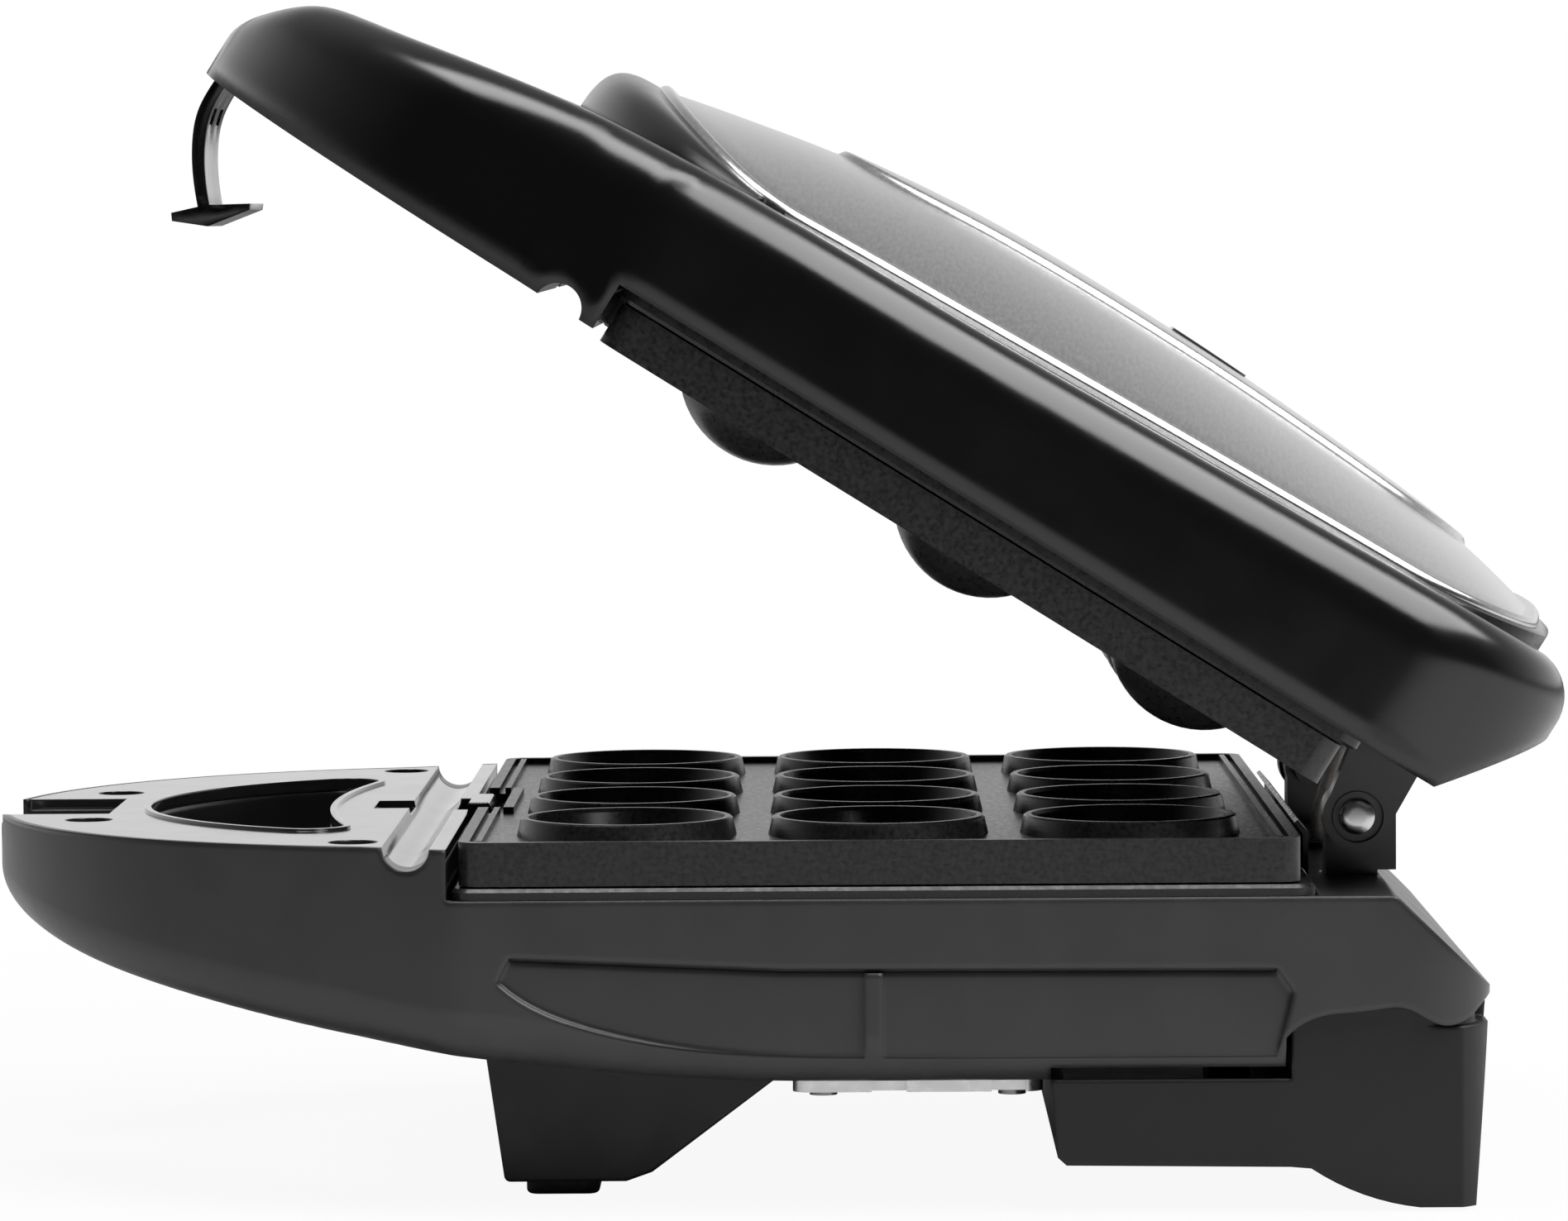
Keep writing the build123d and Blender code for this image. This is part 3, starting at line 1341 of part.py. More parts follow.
wiring_routes = {
    "base_wiring": (base_frame, [
        (0, 136, gland_z), (0, 118, gland_z), (0, 104, -55), (0, 96, terminal_level - 5),
        (0, element_reach_y + 8, terminal_level - 5),
    ]),
    "lid_wiring": (upper_frame, [
        (0, lead_y, wall_top - 6), (0, lead_y, -30), (0, 104, -42),
        (0, 97, terminal_level - 5), (0, element_reach_y + 8, terminal_level - 5),
    ]),
}
for label, (frame, route) in wiring_routes.items():
    with BuildPart() as wiring:
        with BuildLine(Plane(frame.location)) as wire_path:
            FilletPolyline(*route, radius=4)
        start = wire_path.wires()[0]
        with BuildSketch(Plane(start @ 0, z_dir=start % 0)):
            Circle(wire_radius)
        sweep(path=start)
    finish(wiring.part, label)
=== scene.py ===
# %% [markdown]
# # A mini tartlet maker in a white studio
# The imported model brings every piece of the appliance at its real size. This lesson gives each
# piece its finish, models the few forms that sheet metal and turned pins need on top, and sets a
# camera and lights like those of a catalogue picture. We start by loading the frame.

import json
from math import cos, radians, sin

import bpy
from mathutils import Matrix, Vector


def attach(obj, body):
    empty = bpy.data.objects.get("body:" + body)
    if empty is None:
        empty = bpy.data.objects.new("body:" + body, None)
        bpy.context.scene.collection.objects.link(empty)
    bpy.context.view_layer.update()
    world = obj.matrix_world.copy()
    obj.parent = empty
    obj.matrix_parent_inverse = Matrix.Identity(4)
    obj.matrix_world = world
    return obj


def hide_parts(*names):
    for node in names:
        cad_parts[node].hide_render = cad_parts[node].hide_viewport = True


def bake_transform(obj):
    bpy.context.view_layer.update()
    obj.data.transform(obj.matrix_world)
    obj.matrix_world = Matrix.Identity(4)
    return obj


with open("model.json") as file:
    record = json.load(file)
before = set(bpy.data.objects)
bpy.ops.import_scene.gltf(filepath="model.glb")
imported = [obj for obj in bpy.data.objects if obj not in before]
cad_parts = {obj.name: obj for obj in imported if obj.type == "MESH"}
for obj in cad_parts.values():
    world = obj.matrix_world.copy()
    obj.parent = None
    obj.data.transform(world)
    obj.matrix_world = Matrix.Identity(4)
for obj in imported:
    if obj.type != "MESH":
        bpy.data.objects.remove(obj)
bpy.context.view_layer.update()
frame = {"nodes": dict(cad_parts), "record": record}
nodes = frame["nodes"]
slot_of = {row["node"]: row["material_slot"] for row in frame["record"]["subparts"]}
print("CAD nodes:", len(nodes))

# %% [markdown]
# ## Helpers
# Every finish below starts from the same few moves: make a material, read the object's own
# coordinates, let a noise steer colour and gloss, and add a fine bump. Small functions keep the
# recipes short enough to compare.

# %% Start of a finish
def new_finish(name, color, roughness, metallic=0.0):
    """A material whose shader starts from one colour, one roughness and a metal share."""
    finish = bpy.data.materials.new(name)
    finish.use_nodes = True
    shader = finish.node_tree.nodes["Principled BSDF"]
    shader.inputs["Base Color"].default_value = (*color, 1.0)
    shader.inputs["Roughness"].default_value = roughness
    shader.inputs["Metallic"].default_value = metallic
    return finish, finish.node_tree, shader


def object_noise(tree, scale, detail, stretch=(1.0, 1.0, 1.0)):
    """A noise on the object's own coordinates, stretched along the axes if asked."""
    place = tree.nodes.new("ShaderNodeTexCoord")
    mapping = tree.nodes.new("ShaderNodeMapping")
    mapping.inputs["Scale"].default_value = stretch
    noise = tree.nodes.new("ShaderNodeTexNoise")
    noise.inputs["Scale"].default_value = scale
    noise.inputs["Detail"].default_value = detail
    tree.links.new(place.outputs["Object"], mapping.inputs["Vector"])
    tree.links.new(mapping.outputs["Vector"], noise.inputs["Vector"])
    return noise.outputs["Fac"]


# %% Values between two ends
def map_range(tree, value, source, target):
    """A value mapped from one range to another, clamped at both ends."""
    ranged = tree.nodes.new("ShaderNodeMapRange")
    sockets = ("From Min", "From Max", "To Min", "To Max")
    for socket, number in zip(sockets, (*source, *target)):
        ranged.inputs[socket].default_value = number
    tree.links.new(value, ranged.inputs["Value"])
    return ranged.outputs["Result"]


def multiply(tree, first, second):
    """The product of two values."""
    product = tree.nodes.new("ShaderNodeMath")
    product.operation = "MULTIPLY"
    tree.links.new(first, product.inputs[0])
    tree.links.new(second, product.inputs[1])
    return product.outputs["Value"]


# %% Colour, gloss and bump from a noise
# Most of a noise lies between these two values.
NOISE_RANGE = (0.35, 0.65)
ROUNDING_SAMPLES = 16


def vary_color(tree, shader, value, dark, light):
    """The base colour runs between two colours with a noise value."""
    ramp = tree.nodes.new("ShaderNodeValToRGB")
    for stop, position, color in zip(ramp.color_ramp.elements, NOISE_RANGE, (dark, light)):
        stop.position = position
        stop.color = (*color, 1.0)
    tree.links.new(value, ramp.inputs["Fac"])
    tree.links.new(ramp.outputs["Color"], shader.inputs["Base Color"])


def vary_gloss(tree, shader, value, smooth, rough):
    """The roughness runs between two values with a noise value."""
    varied = map_range(tree, value, NOISE_RANGE, (smooth, rough))
    tree.links.new(varied, shader.inputs["Roughness"])


def emboss(tree, shader, value, strength, height, edge_round=0.0):
    """A bump from a noise value, over edges that are shaded round by a radius, both in metres."""
    bump = tree.nodes.new("ShaderNodeBump")
    bump.inputs["Strength"].default_value = strength
    bump.inputs["Distance"].default_value = height
    if edge_round:
        rounding = tree.nodes.new("ShaderNodeBevel")
        rounding.samples = ROUNDING_SAMPLES
        rounding.inputs["Radius"].default_value = edge_round
        tree.links.new(rounding.outputs["Normal"], bump.inputs["Normal"])
    tree.links.new(value, bump.inputs["Height"])
    tree.links.new(bump.outputs["Normal"], shader.inputs["Normal"])


# %% [markdown]
# ## Camera
# The picture is taken from the appliance's side with a long lens, slightly above the plates'
# level. Its place and turn were found from the grid of cups, so they are written as measured:
# where it stands, and how far it turns left, looks down and leans.

# %% Camera
PICTURE_WIDTH = 1896
SENSOR_WIDTH = 36.0
FOCAL_PIXELS = 8376.2
CAMERA_PLACE = Vector((1.67981, 0.01454, 0.22701))
CAMERA_YAW = radians(0.393)
CAMERA_PITCH = radians(3.296)
CAMERA_ROLL = radians(-0.396)

camera = bpy.data.objects.new("camera", bpy.data.cameras.new("camera"))
bpy.context.scene.collection.objects.link(camera)
camera.data.sensor_width = SENSOR_WIDTH
camera.data.lens = FOCAL_PIXELS / PICTURE_WIDTH * SENSOR_WIDTH
turned = (
    Matrix.Rotation(radians(90) + CAMERA_YAW, 4, "Z")
    @ Matrix.Rotation(radians(90) - CAMERA_PITCH, 4, "X")
    @ Matrix.Rotation(CAMERA_ROLL, 4, "Z")
)
camera.matrix_world = Matrix.Translation(CAMERA_PLACE) @ turned
bpy.context.scene.camera = camera
bpy.context.scene.view_settings.view_transform = "Standard"
print("lens:", round(camera.data.lens, 2), "mm")

# %% [markdown]
# ## Studio
# Black plastic is drawn by what it mirrors. The room is white behind the appliance, softer
# overhead and dark on the camera's side, so that its flanks stay black while level faces, seen at
# a grazing angle, mirror the white. Two measures of a ray's direction make this room: how steeply
# it climbs, and how far it turns to the camera's side. The camera itself sees plain white
# everywhere, whatever the room holds.

# %% World
WHITE_BEHIND = 1.0
OVERHEAD = 0.3
DARK_SIDE = 0.02
CLIMB_RANGE = (0.08, 0.55)
SIDE_RANGE = (-0.6, 0.35)

world = bpy.data.worlds.new("white_studio")
bpy.context.scene.world = world
world.use_nodes = True
sky = world.node_tree
direction = sky.nodes.new("ShaderNodeTexCoord")
parts = sky.nodes.new("ShaderNodeSeparateXYZ")
sky.links.new(direction.outputs["Generated"], parts.inputs["Vector"])
by_climb = map_range(sky, parts.outputs["Z"], CLIMB_RANGE, (WHITE_BEHIND, OVERHEAD))
by_side = map_range(sky, parts.outputs["X"], SIDE_RANGE, (1.0, DARK_SIDE))
seen = sky.nodes.new("ShaderNodeLightPath")
shown = sky.nodes.new("ShaderNodeMix")
shown.data_type = "FLOAT"
shown.inputs["B"].default_value = 1.0
sky.links.new(multiply(sky, by_climb, by_side), shown.inputs["A"])
sky.links.new(seen.outputs["Is Camera Ray"], shown.inputs["Factor"])
background = sky.nodes["Background"]
background.inputs["Color"].default_value = (1.0, 1.0, 1.0, 1.0)
sky.links.new(shown.outputs["Result"], background.inputs["Strength"])
print("room:", WHITE_BEHIND, "behind,", OVERHEAD, "overhead,", DARK_SIDE, "on the camera's side")

# %% [markdown]
# The floor is white paper. Close to the appliance it keeps a little of the real shading, which is
# the contact shadow under the feet. Further out it turns into plain white for the camera, so no
# horizon line is left behind the appliance. It ends a metre in front of the flank, because an
# upright glossy wall mirrors the far floor, and here it has to mirror the dark.

# %% Floor
FLOOR_MIDDLE = (-8.5, 0, 0)
FLOOR_SIZE = (19.0, 30.0, 1.0)
PAPER = (0.6, 0.6, 0.6)
PAPER_ROUGHNESS = 0.9
SHADOW_REACH = 0.24
WHITE_FROM = 0.62
NEAR_WHITE = 0.93


def white_paper():
    """Matt paper for the light, and nearly plain white for the camera."""
    finish, tree, shader = new_finish("white_floor", PAPER, PAPER_ROUGHNESS)
    place = tree.nodes.new("ShaderNodeTexCoord")
    reach = tree.nodes.new("ShaderNodeVectorMath")
    reach.operation = "LENGTH"
    tree.links.new(place.outputs["Object"], reach.inputs[0])
    distance = reach.outputs["Value"]
    white = map_range(tree, distance, (SHADOW_REACH, WHITE_FROM), (NEAR_WHITE, 1.0))
    seen_floor = tree.nodes.new("ShaderNodeLightPath")
    glow = tree.nodes.new("ShaderNodeEmission")
    mixed = tree.nodes.new("ShaderNodeMixShader")
    tree.links.new(multiply(tree, white, seen_floor.outputs["Is Camera Ray"]), mixed.inputs["Fac"])
    tree.links.new(shader.outputs["BSDF"], mixed.inputs[1])
    tree.links.new(glow.outputs["Emission"], mixed.inputs[2])
    tree.links.new(mixed.outputs["Shader"], tree.nodes["Material Output"].inputs["Surface"])
    return finish


bpy.ops.object.select_all(action="DESELECT")
bpy.ops.mesh.primitive_plane_add(size=1.0, location=FLOOR_MIDDLE)
floor = bpy.context.object
floor.name = "floor"
floor.scale = FLOOR_SIZE
bpy.ops.object.transform_apply(location=True, rotation=True, scale=True)
floor.data.materials.append(white_paper())
print("floor:", floor.dimensions[:])

# %% [markdown]
# Two softboxes do the rest. One hangs high and to the rear, where the shoulder of the tilted lid
# mirrors it as one long band; the other hangs overhead, where the handle's shoulder carries that
# band on to the nose.

# %% Softboxes
LIT_PLACE = Vector((0, 0, 0.15))


def softbox(name, place, size, power):
    """A rectangular area lamp that points from its place to the middle of the appliance."""
    lamp = bpy.data.lights.new(name, "AREA")
    lamp.shape = "RECTANGLE"
    lamp.size, lamp.size_y = size
    lamp.energy = power
    box = bpy.data.objects.new(name, lamp)
    bpy.context.scene.collection.objects.link(box)
    facing = (LIT_PLACE - Vector(place)).to_track_quat("-Z", "Y").to_matrix().to_4x4()
    box.matrix_world = Matrix.Translation(place) @ facing
    print(name, "at", place, "of", power, "W")


softbox("shoulder_light", place=(0.4, 0.85, 1.3), size=(1.6, 0.9), power=30)
softbox("overhead_light", place=(0.1, 0.0, 1.7), size=(1.3, 0.7), power=20)

# %% [markdown]
# ## Plastics
# The lid is glossy black, with the faint orange peel of a large moulding. The base is a shade
# greyer, in satin. The covers inside the handles are satin too, but smooth enough to mirror the
# white room at a grazing angle. Feet and housing have the grain of a spark-eroded mould. Real
# mouldings have no knife edges, so each recipe also shades its edges round by a radius.

# %% Plastics
def glossy_black():
    """The lid's plastic."""
    finish, tree, shader = new_finish("glossy_black", (0.005, 0.005, 0.0052), roughness=0.2)
    shader.inputs["IOR"].default_value = 1.55
    peel = object_noise(tree, scale=260.0, detail=2.0)
    emboss(tree, shader, peel, strength=0.02, height=0.0002, edge_round=0.007)
    wear = object_noise(tree, scale=45.0, detail=5.0)
    vary_gloss(tree, shader, wear, smooth=0.17, rough=0.22)
    return finish


def satin_plastic(name, color, smooth, rough, grain_depth, edge_round, index=1.5):
    """Plastic from a grained mould; index is its index of refraction."""
    finish, tree, shader = new_finish(name, color, rough)
    shader.inputs["IOR"].default_value = index
    grain = object_noise(tree, scale=1500.0, detail=4.0)
    emboss(tree, shader, grain, strength=grain_depth, height=0.0001, edge_round=edge_round)
    cloud = object_noise(tree, scale=60.0, detail=3.0)
    darker = tuple(part * 0.9 for part in color)
    lighter = tuple(part * 1.1 for part in color)
    vary_color(tree, shader, cloud, darker, lighter)
    vary_gloss(tree, shader, cloud, smooth, rough)
    return finish


# %% [markdown]
# ## Panel and plates
# The panel is brushed across its width, so its noise is drawn out along X until it is hair. The
# plates are cast aluminium under a dark coating: speckled all over, and milled in fine lines, for
# which a second noise is drawn out in two directions by different amounts.

# %% Panel and plates
def brushed_panel():
    """The panel's bare steel."""
    finish, tree, shader = new_finish(
        "brushed_panel", (0.6, 0.6, 0.61), roughness=0.24, metallic=1.0)
    hair = object_noise(tree, scale=1.0, detail=2.0, stretch=(12.0, 1100.0, 1100.0))
    vary_gloss(tree, shader, hair, smooth=0.23, rough=0.26)
    vary_color(tree, shader, hair, dark=(0.57, 0.57, 0.58), light=(0.64, 0.64, 0.65))
    return finish


def coated_plate():
    """The plates' coating."""
    finish, tree, shader = new_finish(
        "coated_plate", (0.02, 0.02, 0.021), roughness=0.36, metallic=0.1)
    milled = object_noise(tree, scale=1.0, detail=4.0, stretch=(60.0, 200.0, 1300.0))
    emboss(tree, shader, milled, strength=0.22, height=0.0001)
    speckle = object_noise(tree, scale=900.0, detail=3.0)
    vary_color(tree, shader, speckle, dark=(0.014, 0.014, 0.015), light=(0.03, 0.03, 0.031))
    vary_gloss(tree, shader, speckle, smooth=0.27, rough=0.34)
    return finish


# %% [markdown]
# ## Small parts
# Screws, springs, pans and pins are bare metal. Bezels, hinge arms, lens and lamps have a smooth,
# hard skin like enamel. Pads, sleeving and terminal blocks are matt. One recipe serves each of the
# three kinds, and a piece differs from its neighbour only by colour, gloss and size of grain.

# %% Small parts
def metal(name, color, roughness):
    """A plain metal with a fine mottle in its gloss."""
    finish, tree, shader = new_finish(name, color, roughness, metallic=1.0)
    mottle = object_noise(tree, scale=240.0, detail=4.0)
    vary_gloss(tree, shader, mottle, smooth=roughness * 0.85, rough=roughness * 1.15)
    emboss(tree, shader, mottle, strength=0.08, height=0.0001)
    return finish


def enamel(name, color, roughness):
    """A smooth, hard skin, such as thin paint on sheet metal."""
    finish, tree, shader = new_finish(name, color, roughness)
    mottle = object_noise(tree, scale=500.0, detail=3.0)
    emboss(tree, shader, mottle, strength=0.12, height=0.0001)
    vary_gloss(tree, shader, mottle, smooth=roughness - 0.05, rough=roughness + 0.07)
    return finish


def soft_matt(name, color, roughness, grain_scale):
    """Rubber, sleeving or ceramic: matt, with a grain of its own scale."""
    finish, tree, shader = new_finish(name, color, roughness)
    grain = object_noise(tree, grain_scale, detail=4.0)
    emboss(tree, shader, grain, strength=0.4, height=0.0002)
    darker = tuple(part * 0.8 for part in color)
    lighter = tuple(min(1.0, part * 1.15) for part in color)
    vary_color(tree, shader, grain, darker, lighter)
    return finish


# %% [markdown]
# ## A finish for each slot
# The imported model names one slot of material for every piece, so a table from slots to finishes
# dresses the whole appliance at once. Colours are those of the real materials under plain light,
# from the near black of the lid to the grey of the rolled pans.

# %% A finish for each slot
finishes = {
    "black_gloss": glossy_black(),
    "base_satin": satin_plastic(
        "satin_shell", (0.036, 0.036, 0.0375), smooth=0.28, rough=0.34,
        grain_depth=0.03, edge_round=0.002),
    "charcoal_satin": satin_plastic(
        "smooth_cover", (0.035, 0.035, 0.036), smooth=0.08, rough=0.12,
        grain_depth=0.0, edge_round=0.0006, index=1.75),
    "grained_black": satin_plastic(
        "grained_black", (0.006, 0.006, 0.0065), smooth=0.42, rough=0.5,
        grain_depth=0.15, edge_round=0.0015),
    "panel_steel": brushed_panel(),
    "plate_coating": coated_plate(),
    "bezel_enamel": enamel("bezel_enamel", (0.016, 0.016, 0.017), roughness=0.28),
    "reflector_metal": metal("rolled_aluminium", (0.72, 0.72, 0.72), roughness=0.3),
    "element_steel": metal("heater_sheath", (0.3, 0.29, 0.28), roughness=0.45),
    # Painted shade: this dark paint also dresses the hinge pins, in place of the dark reflection
    # in their dishes.
    "hinge_metal": enamel("hinge_paint_and_pin_dish_shade", (0.075, 0.075, 0.077), roughness=0.4),
    "pin_metal": metal("polished_pin", (0.62, 0.62, 0.63), roughness=0.22),
    "screw_metal": metal("dark_zinc", (0.3, 0.3, 0.31), roughness=0.38),
    "spring_metal": metal("black_spring", (0.2, 0.2, 0.2), roughness=0.35),
    "pad_rubber": soft_matt("grip_rubber", (0.05, 0.05, 0.05), 0.75, grain_scale=700.0),
    "lamp_lens": enamel("smoked_window", (0.05, 0.045, 0.045), roughness=0.12),
    "lamp_amber": enamel("amber_lamp", (0.75, 0.32, 0.06), roughness=0.2),
    "wire_sleeve": soft_matt("woven_sleeve", (0.45, 0.42, 0.38), 0.8, grain_scale=900.0),
    "terminal_ceramic": soft_matt("ceramic", (0.78, 0.76, 0.7), 0.6, grain_scale=500.0),
}
print("finishes:", len(finishes))

# %% [markdown]
# ## Dressing the pieces
# Two kinds of piece differ from their slot. The feet and the housing behind them stand in deeper
# black than the base, with a coarser grain. The hinge pins take the arms' dark paint as painted
# shade: it stands in for the dark reflection in the dish round each dome, and only the domes that
# are modelled further below are polished.

# %% Dress the pieces
GRAINED = ("front_foot_left", "front_foot_right", "rear_foot_housing")


def dress(piece, slot):
    """Replace what a piece wears by the finish of a slot."""
    piece.data.materials.clear()
    piece.data.materials.append(finishes[slot])


for name, node in nodes.items():
    dress(node, "grained_black" if name in GRAINED else slot_of[name])
# Painted shade: the pins wear the arms' dark paint in place of the dark reflection in their
# dishes.
dress(nodes["hinge_pins"], "hinge_metal")
print("dressed:", len(nodes), "pieces")

# %% [markdown]
# ## Places on the open lid
# The lid was drawn shut and stands open here, so a piece that belongs to it is modelled in the
# shut lid's own millimetres, where its sizes are easy to read. Each point is then turned about the
# hinge by the opening angle. The hinge has one place in the room, and one on the shut lid.

# %% From the shut lid to the open one
HINGE_Y = 135.9
HINGE_Z = 86.4
HINGE_ALONG = 110.9
HINGE_ABOVE = -1.6
OPENING = radians(32.1)
MM_PER_M = 1000.0


def on_open_lid(x, y, z):
    """A point of the shut lid in millimetres, as a place on the open lid in metres."""
    along = y - HINGE_ALONG
    above = z - HINGE_ABOVE
    place = Vector((x, HINGE_Y + along * cos(OPENING) + above * sin(OPENING), 0.0))
    place.z = HINGE_Z - along * sin(OPENING) + above * cos(OPENING)
    return place / MM_PER_M


print("hinge at", on_open_lid(0, HINGE_ALONG, HINGE_ABOVE)[:])

# %% [markdown]
# ## Steel panel
# The panel on the lid is pressed from thin brushed sheet: a rolled bead runs round its rim, the
# sheet is crowned like a shallow bonnet, and a flat-topped strip with round ends is raised along
# the middle. The construction holds it as a plain crowned slab. Here it is drawn as rings of
# points that follow the rim inwards, over the bead, across the crown and up on the strip, because
# bead and strip then stay smooth all the way round. Solidify gives the sheet its thickness.

# %% Crown of the lid
# Each row: place along the lid, height at the edges, height in the middle, in millimetres.
CROWN_ROWS = [(-140, 41.0, 50.0), (-117, 43.4, 56.6), (-95.7, 45.0, 61.4), (-70, 46.4, 66.2),
              (-30, 47.7, 70.2), (20, 49.5, 70.8), (70, 51.2, 68.7), (105, 52.3, 65.4),
              (128, 53.0, 60.2), (142, 53.2, 57.0)]
AT_EDGES, IN_MIDDLE = 1, 2
CROWN_REACH = 110.0


def between_rows(y, column):
    """The smooth height at a place along the lid, through the rows' own heights."""
    last = len(CROWN_ROWS) - 1
    after = next((i for i in range(1, last) if y <= CROWN_ROWS[i][0]), last)
    before = after - 1
    start, end = CROWN_ROWS[before], CROWN_ROWS[after]
    earlier, later = CROWN_ROWS[max(before - 1, 0)], CROWN_ROWS[min(after + 1, last)]
    gap = end[0] - start[0]
    share = (y - start[0]) / gap
    leaving = gap * (end[column] - earlier[column]) / (end[0] - earlier[0])
    arriving = gap * (later[column] - start[column]) / (later[0] - start[0])
    return (start[column] * (2 * share**3 - 3 * share**2 + 1)
            + leaving * (share**3 - 2 * share**2 + share)
            + end[column] * (3 * share**2 - 2 * share**3)
            + arriving * (share**3 - share**2))


def crown_height(x, y):
    """The lid's top over a place, higher in the middle than at its edges."""
    middle = between_rows(y, IN_MIDDLE)
    return middle - (middle - between_rows(y, AT_EDGES)) * (x / CROWN_REACH) ** 2


print("crown in the middle:", round(crown_height(0, 0), 1), "mm")

# %% [markdown]
# The panel's outline is half an ellipse round the nose, two straight flanks, two round corners and
# a tail that bulges a little. Each of its points also keeps the direction that leads out of the
# panel there, because the bead is drawn square to the rim.

# %% Arcs and flanks
PANEL_HALF_WIDTH = 107.0
QUARTER_TURN = radians(90)


def outward(turn):
    """The direction at a turn from the X axis."""
    return Vector((cos(turn), sin(turn)))


def arc(centre, radius, start, end, steps):
    """Points on an arc with the directions out of it, up to just before its end."""
    turns = [start + (end - start) * step / steps for step in range(steps)]
    return [(Vector(centre) + outward(turn) * radius, outward(turn)) for turn in turns]


def flank(side, start, end, steps):
    """Points on a straight flank with the direction out of it, up to just before its end."""
    places = [start + (end - start) * step / steps for step in range(steps)]
    return [(Vector((side * PANEL_HALF_WIDTH, place)), Vector((side, 0))) for place in places]


# %% Outline of the panel
NOSE_START = -70.0
NOSE_LENGTH = 47.0
NOSE_POINTS = 64
FLANK_POINTS = 40
CORNER_X = 71.0
CORNER_Y = 87.8
CORNER_RADIUS = 36.0
CORNER_POINTS = 20
TAIL_CENTRE = (0, -512.6)
TAIL_RADIUS = 640.6
TAIL_HALF_ANGLE = radians(6.75)
TAIL_POINTS = 40


def panel_nose():
    """Points round the elliptical nose, from the left flank to the right one."""
    points = []
    for step in range(NOSE_POINTS):
        across, ahead = outward(2 * QUARTER_TURN * (1 + step / NOSE_POINTS))
        place = Vector((PANEL_HALF_WIDTH * across, NOSE_START + NOSE_LENGTH * ahead))
        out = Vector((across / PANEL_HALF_WIDTH, ahead / NOSE_LENGTH)).normalized()
        points.append((place, out))
    return points


tail_start = QUARTER_TURN - TAIL_HALF_ANGLE
tail_end = QUARTER_TURN + TAIL_HALF_ANGLE
outline = (
    panel_nose()
    + flank(1, NOSE_START, CORNER_Y, FLANK_POINTS)
    + arc((CORNER_X, CORNER_Y), CORNER_RADIUS, 0.0, tail_start, CORNER_POINTS)
    + arc(TAIL_CENTRE, TAIL_RADIUS, tail_start, tail_end, TAIL_POINTS)
    + arc((-CORNER_X, CORNER_Y), CORNER_RADIUS, tail_end, 2 * QUARTER_TURN, CORNER_POINTS)
    + flank(-1, CORNER_Y, NOSE_START, FLANK_POINTS)
)
print("panel outline:", len(outline), "points")

# %% [markdown]
# Three groups of rings follow each other from the rim inwards: the bead, square to the rim; the
# open sheet, along spokes that lead to the strip's middle line; and the strip, on the same spokes.

# %% Rings of the panel
# Bead: how far in from the rim, and how high over the crown, in millimetres.
BEAD = [(0.0, -0.9), (0.0, 0.3), (0.35, 0.9), (0.9, 1.3), (1.6, 1.45), (2.3, 1.3), (2.9, 0.9),
        (3.3, 0.35), (3.6, -0.1), (4.1, -0.25), (4.7, -0.1), (5.3, 0.0)]
SHEET_STEPS = 9
STRIP_HALF_WIDTH = 32.0
STRIP_ENDS = (-40.0, 75.0)
# Strip: how far in from its foot, and how high over the crown.
STRIP_STEPS = [(-1.2, 0.0), (0.0, 0.12), (0.6, 0.9), (1.2, 1.45), (2.0, 1.6), (10.0, 1.6),
               (20.0, 1.6), (32.0, 1.6)]


def raised(ring, rise=0.0):
    """A flat ring laid on the crown, or a little over it."""
    return [(p.x, p.y, crown_height(p.x, p.y) + rise) for p in ring]


def panel_rings():
    """Every ring of the panel as points of the shut lid."""
    rings = [raised([place - out * inwards for place, out in outline], rise)
             for inwards, rise in BEAD]
    start = [place - out * BEAD[-1][0] for place, out in outline]
    middles = [Vector((0, min(max(p.y, STRIP_ENDS[0]), STRIP_ENDS[1]))) for p in start]
    spokes = [(p - m).normalized() for p, m in zip(start, middles)]
    foot = STRIP_HALF_WIDTH - STRIP_STEPS[0][0]
    for step in range(1, SHEET_STEPS):
        share = step / SHEET_STEPS
        rings.append(raised([p.lerp(m + s * foot, share)
                             for p, m, s in zip(start, middles, spokes)]))
    for inwards, rise in STRIP_STEPS:
        reach = STRIP_HALF_WIDTH - inwards
        rings.append(raised([m + s * reach for m, s in zip(middles, spokes)], rise))
    return rings


rings = panel_rings()
print("panel rings:", len(rings))

# %% [markdown]
# The rings become one sheet of four-sided faces on the open lid. The last ring closes on the
# strip's middle line, where its points meet and are merged. Two helpers do what a hand does with
# the mouse: pick one piece alone, and run a tool on the whole of it in edit mode.

# %% Press the panel
MERGE_DISTANCE = 0.00002


def pick(piece):
    """Select one piece and nothing else."""
    bpy.ops.object.select_all(action="DESELECT")
    piece.select_set(True)
    bpy.context.view_layer.objects.active = piece


def edit_whole(piece, tool, **settings):
    """Run one edit-mode tool on the whole of a piece."""
    pick(piece)
    bpy.ops.object.mode_set(mode="EDIT")
    bpy.ops.mesh.select_all(action="SELECT")
    tool(**settings)
    bpy.ops.object.mode_set(mode="OBJECT")


def skin_of(name, rings):
    """A mesh over closed rings of the shut lid, placed on the open lid."""
    count = len(rings[0])
    corners = [on_open_lid(*point) for ring in rings for point in ring]
    faces = []
    for ring in range(len(rings) - 1):
        for spot in range(count):
            here = ring * count + spot
            next_spot = ring * count + (spot + 1) % count
            faces.append((here, next_spot, next_spot + count, here + count))
    mesh = bpy.data.meshes.new(name)
    mesh.from_pydata(corners, [], faces)
    piece = bpy.data.objects.new(name, mesh)
    bpy.context.scene.collection.objects.link(piece)
    return piece


